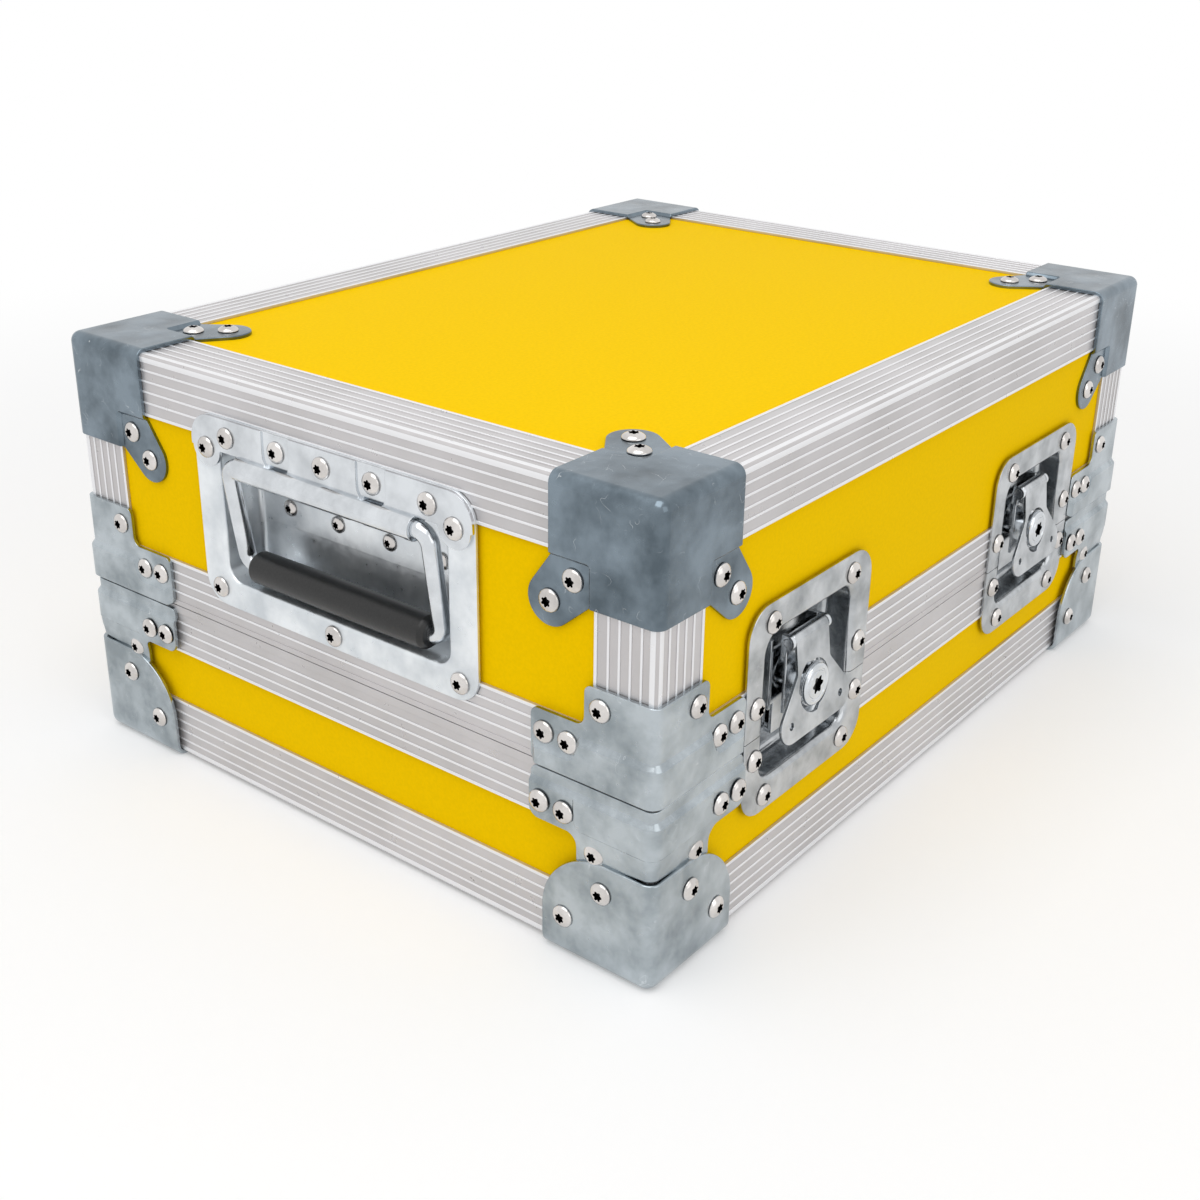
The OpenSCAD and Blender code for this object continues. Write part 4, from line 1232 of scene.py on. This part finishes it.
def cut_level(bm, level, keep_above):
    """Cuts a mesh at a height and closes the cut."""
    geom = bm.verts[:] + bm.edges[:] + bm.faces[:]
    cut = bmesh.ops.bisect_plane(
        bm, geom=geom, dist=0.0001, plane_co=(0, 0, level), plane_no=(0, 0, 1),
        clear_inner=keep_above, clear_outer=not keep_above)
    edges = [e for e in cut["geom_cut"] if isinstance(e, bmesh.types.BMEdge)]
    bmesh.ops.edgeloop_fill(bm, edges=edges)


for side in SIDES:
    middle_x, middle_z = latch_middle(side)

    def to_latch(p):
        return Vector((middle_x + p.x, -rim_face + p.y, middle_z + p.z))

    for node, keep_above in ((f"latch_dish_{side}", True), (f"keeper_dish_{side}", False)):
        bm = bmesh.new()
        loft(bm, *dish_rings(
            (rim_half, rim_half, rim_round), (hole_half_x, hole_half_z, hole_round), latch_depth, 0.0,
            dish_sheet, latch_lip, latch_fillet, 0.0), to_latch)
        cut_level(bm, seam_z + (seam_gap if keep_above else 0), keep_above)
        if not keep_above:
            block(bm, (-hook_half, latch_depth - hook_sheet, hook_low), (hook_half, latch_depth, hook_high),
                  0.25, to_latch)
            block(bm, (-hook_half, hook_from, hook_low), (hook_half, latch_depth, hook_low + hook_bar),
                  0.4, to_latch)
        close_up(node, bm)
        add_piece(node + "_drawn", bm, body_of_node[node], "latch_steel", None, (node,))

# %% [markdown]
# The hub is what is turned to draw the claw. Its head is a thick disc with a stepped rim, a ring
# groove and a star socket. The rounded copy of the spindle, made above, has a plain head of its own,
# which is pushed back so that it ends under this one. The frame's own spindle stays as it is.

# %% Hub heads
hub_rings = [
    (8.9, 1.2, 0), (10.06, 1.25, 0), (10.12, 1.5, 0), (10.12, 2.1, 0), (9.7, 2.3, 0), (9.7, 3.5, 0),
    (9.35, 4.2, 0), (8.7, 4.58, 0), (7.5, 4.6, 0), (7.2, 4.15, 0), (6.6, 4.15, 0), (6.3, 4.6, 0),
    (4.6, 4.62, 0), (3.7, 4.62, 0.16), (3.6, 4.5, 0.2), (3.5, 3.2, 0.22)]
hub_points = 60
head_kept_to = 2.6
head_cut_from = 3.0
for side in SIDES:
    middle_x, middle_z = latch_middle(side)
    bm = bmesh.new()
    lathe_rings(bm, hub_rings, hub_points)
    for vert in bm.verts:
        vert.co = Vector((middle_x + vert.co.x, -rim_face - vert.co.z, middle_z + vert.co.y))
    close_up("hub head", bm)
    hub = add_piece(f"hub_head_{side}", bm, f"spindle_{side}", "latch_steel", bright_steel, (), sharp=40)
    # the hub's socket is marked for painted shade
    mark_socket_shade(hub.data, hub_points, 2)
    spindle = bpy.data.objects[f"latch_spindle_{side}_finished"]
    for vert in spindle.data.vertices:
        if vert.co.y < -(rim_face + head_cut_from) * MM:
            vert.co.y = -(rim_face + head_kept_to) * MM

# %% [markdown]
# The butterfly wing is one plate of sheet steel, rolled round its pin at the top and spread into two
# lobes at the foot. Its hole clears the hub, with a wider slot on one side. The outline and its holes
# are filled with triangles, extruded to the sheet's thickness, and the roll is added as a tube.

# %% Butterfly wings
wing_half = 13.0
wing_drop = 23.0
wing_roll = 3.3
wing_sheet = 1.5
wing_bore = 1.9
wing_lean = math.radians(7.0)
pin_at = (2.8, 23.0)
wing_rim = 0.3
hub_gap = 10.9
slot_gap = 1.9
lobe_out = 20
lobe_drop = 35.5
lobe_r = 1.7
roll_edge = 0.35
wing_corners = [
    (wing_half, 0, 0), (-wing_half, 0, 0), (-wing_half, -15, 4), (-37.3, -43.5, 8), (37.3, -43.5, 8),
    (wing_half, -15, 4)]


def hub_hole(steps=72):
    """The hole for the hub: round, with a wider slot from the upper left to the foot."""
    points = []
    for k in range(steps):
        turn = 360 * k / steps
        share = soft_step(min(turn - 105, 285 - turn) / 12) if 105 < turn < 285 else 0
        tooth = max(0, 1 - abs(turn - 190) / 7)
        radius = hub_gap + slot_gap * share * (1 - 0.8 * tooth)
        angle = math.radians(turn)
        points.append((radius * math.cos(angle), -wing_drop + radius * math.sin(angle)))
    return points


def ring_loop(bm, points, depth):
    """A closed loop of edges through points (x, z)."""
    verts = [bm.verts.new((x, depth, z)) for x, z in points]
    return [bm.edges.new((a, b)) for a, b in zip(verts, verts[1:] + verts[:1])]


def tube(bm, profile, count, turn):
    """A lathed tube whose first and last rings are joined through its bore."""
    rows = lathe_rings(bm, [(r, z, 0) for r, z in profile], count, close_ends=False)
    for k in range(count):
        n = (k + 1) % count
        bm.faces.new((rows[0][k], rows[-1][k], rows[-1][n], rows[0][n]))
    for vert in (v for row in rows for v in row):
        vert.co = turn(vert.co)


for side in SIDES:
    middle_x, middle_z = latch_middle(side)
    bm = bmesh.new()
    edges = ring_loop(bm, [(p.x, p.y) for p in rounded(wing_corners, 8)], -wing_roll)
    edges += ring_loop(bm, hub_hole(), -wing_roll)
    for way in (-1, 1):
        edges += ring_loop(bm, [
            (way * lobe_out + lobe_r * math.cos(t), -lobe_drop + lobe_r * math.sin(t))
            for t in (2 * math.pi * k / 20 for k in range(20))], -wing_roll)
    faces = [f for f in bmesh.ops.triangle_fill(bm, use_beauty=True, edges=edges)["geom"]
             if isinstance(f, bmesh.types.BMFace)]
    grown = bmesh.ops.extrude_face_region(bm, geom=faces)["geom"]
    for vert in grown:
        if isinstance(vert, bmesh.types.BMVert):
            vert.co.y += wing_sheet
    bmesh.ops.recalc_face_normals(bm, faces=bm.faces)
    rims = [e for e in bm.edges if len(e.link_faces) == 2 and e.calc_face_angle(0) > math.radians(60)]
    rims = [e for e in rims if abs(e.verts[0].co.y - e.verts[1].co.y) < 0.01]
    round_off(bm, rims, wing_rim)
    tube(bm, [
        (wing_bore, -wing_half), (wing_roll - roll_edge, -wing_half), (wing_roll, roll_edge - wing_half),
        (wing_roll, wing_half - roll_edge), (wing_roll - roll_edge, wing_half), (wing_bore, wing_half)],
        40, lambda p: Vector((p.z, p.y, p.x)))
    for vert in bm.verts:
        x, y, z = vert.co
        vert.co = Vector((
            middle_x + x,
            -rim_face + pin_at[0] + y * math.cos(wing_lean) + z * math.sin(wing_lean),
            middle_z + pin_at[1] - y * math.sin(wing_lean) + z * math.cos(wing_lean)))
    close_up("wing", bm)
    add_piece(f"butterfly_wing_{side}", bm, f"wing_{side}", "latch_steel", None, (f"latch_wing_{side}",))

# %% [markdown]
# The handle's dish is drawn in the same way, wider and deeper, behind a plate with large corners.
# Its local x runs along the end wall and its depth into the case.

# %% Handle dish
plate_low, plate_high = box_mm("handle_dish")
handle_mid_z = (plate_low.z + plate_high.z) / 2
handle_half_x = (plate_high.y - plate_low.y) / 2
handle_half_z = (plate_high.z - plate_low.z) / 2
handle_round = 13.0
handle_depth = 21.0
handle_hole = (69.0, 32.75, 8.0)
handle_hole_mid = -0.25
handle_lip = 1.8
handle_fillet = 3.0


def to_handle(p):
    """From the handle's own axes to the case's."""
    return Vector((-half_w + p.y, -p.x, handle_mid_z + p.z))


bm = bmesh.new()
loft(bm, *dish_rings(
    (handle_half_x, handle_half_z, handle_round), handle_hole, handle_depth, -dish_sheet, dish_sheet,
    handle_lip, handle_fillet, handle_hole_mid), to_handle)
close_up("handle dish", bm)
# the handle dish takes the lighter copy of the steel, painted light against its shade
add_piece("handle_dish_drawn", bm, "lid", slot_of["handle_dish"], dish_steel_painted_light, ("handle_dish",))
print("handle plate", round(handle_half_x * 2, 1), "x", round(handle_half_z * 2, 1), "mm")

# %% [markdown]
# The grip is a moulded sleeve on the rod: very slightly thicker in the middle, with a chamfer and a
# small step at each end.

# %% Grip
grip_low, grip_high = box_mm("handle_grip")
grip_mid = (grip_low + grip_high) / 2
grip_half = (grip_high.y - grip_low.y) / 2
grip_r = min(grip_high.x - grip_low.x, grip_high.z - grip_low.z) / 2
rod_r = 4.06
crown = 0.35
end_profile = [(rod_r, 0.0), (grip_r - 2.4, 0.0), (grip_r - 1.9, 0.15), (grip_r - crown - 0.35, 1.7),
               (grip_r - crown, 2.3)]
along = [(r, -grip_half + z) for r, z in end_profile]
along += [(grip_r - crown * (2 * k / 12 - 1) ** 2, (grip_half - 2.6) * (2 * k / 12 - 1)) for k in range(13)]
along += [(r, grip_half - z) for r, z in reversed(end_profile)]
bm = bmesh.new()
tube(bm, along, 56, lambda p: grip_mid + Vector((p.x, p.z, p.y)))
close_up("grip", bm)
add_piece("grip_sleeve", bm, "handle", "grip", None, ("handle_grip",), sharp=40)
print("grip radius", round(grip_r, 2), "length", round(grip_half * 2, 1))

# %% [markdown]
# The lining is a sheet of soft foam in the base and one in the lid. Each is a closed block with
# rounded edges and a gently uneven face, with its pores in the material.

# %% Foam lining
lumps = 0.35
foam_edge = 2.2
foam_cell = 9.0


def foam_sheet(name, node):
    """A foam sheet in the space of its node."""
    low, high = box_mm(node)
    middle, half = (low + high) / 2, (high - low) / 2
    bm = bmesh.new()
    counts = [max(2, round(2 * size / foam_cell)) for size in half[:2]]
    widest = [size - foam_edge * 0.3 for size in half[:2]]
    for way in (-1, 1):
        grid = []
        for i in range(counts[0] + 1):
            row = []
            for j in range(counts[1] + 1):
                x = -half.x + 2 * half.x * i / counts[0]
                y = -half.y + 2 * half.y * j / counts[1]
                x, y = (max(-most, min(most, v)) for v, most in zip((x, y), widest))
                at_rim = i in (0, counts[0]) or j in (0, counts[1])
                lump = lumps * (math.sin(x * 0.21 + way) * math.sin(y * 0.17) - 1) / 2
                z = way * (half.z - (foam_edge * 0.7 if at_rim else 0) + (0 if at_rim else lump))
                row.append(bm.verts.new(middle + Vector((x, y, z))))
            grid.append(row)
        for i in range(counts[0]):
            for j in range(counts[1]):
                bm.faces.new((grid[i][j], grid[i + 1][j], grid[i + 1][j + 1], grid[i][j + 1]))
    rims = [e for e in bm.edges if len(e.link_faces) == 1]
    bmesh.ops.bridge_loops(bm, edges=rims)
    close_up(name, bm)
    add_piece(name, bm, body_of_node[node], "foam", None, (node,), sharp=60)


foam_sheet("base_foam_sheet", "base_foam")
foam_sheet("lid_foam_sheet", "lid_foam")
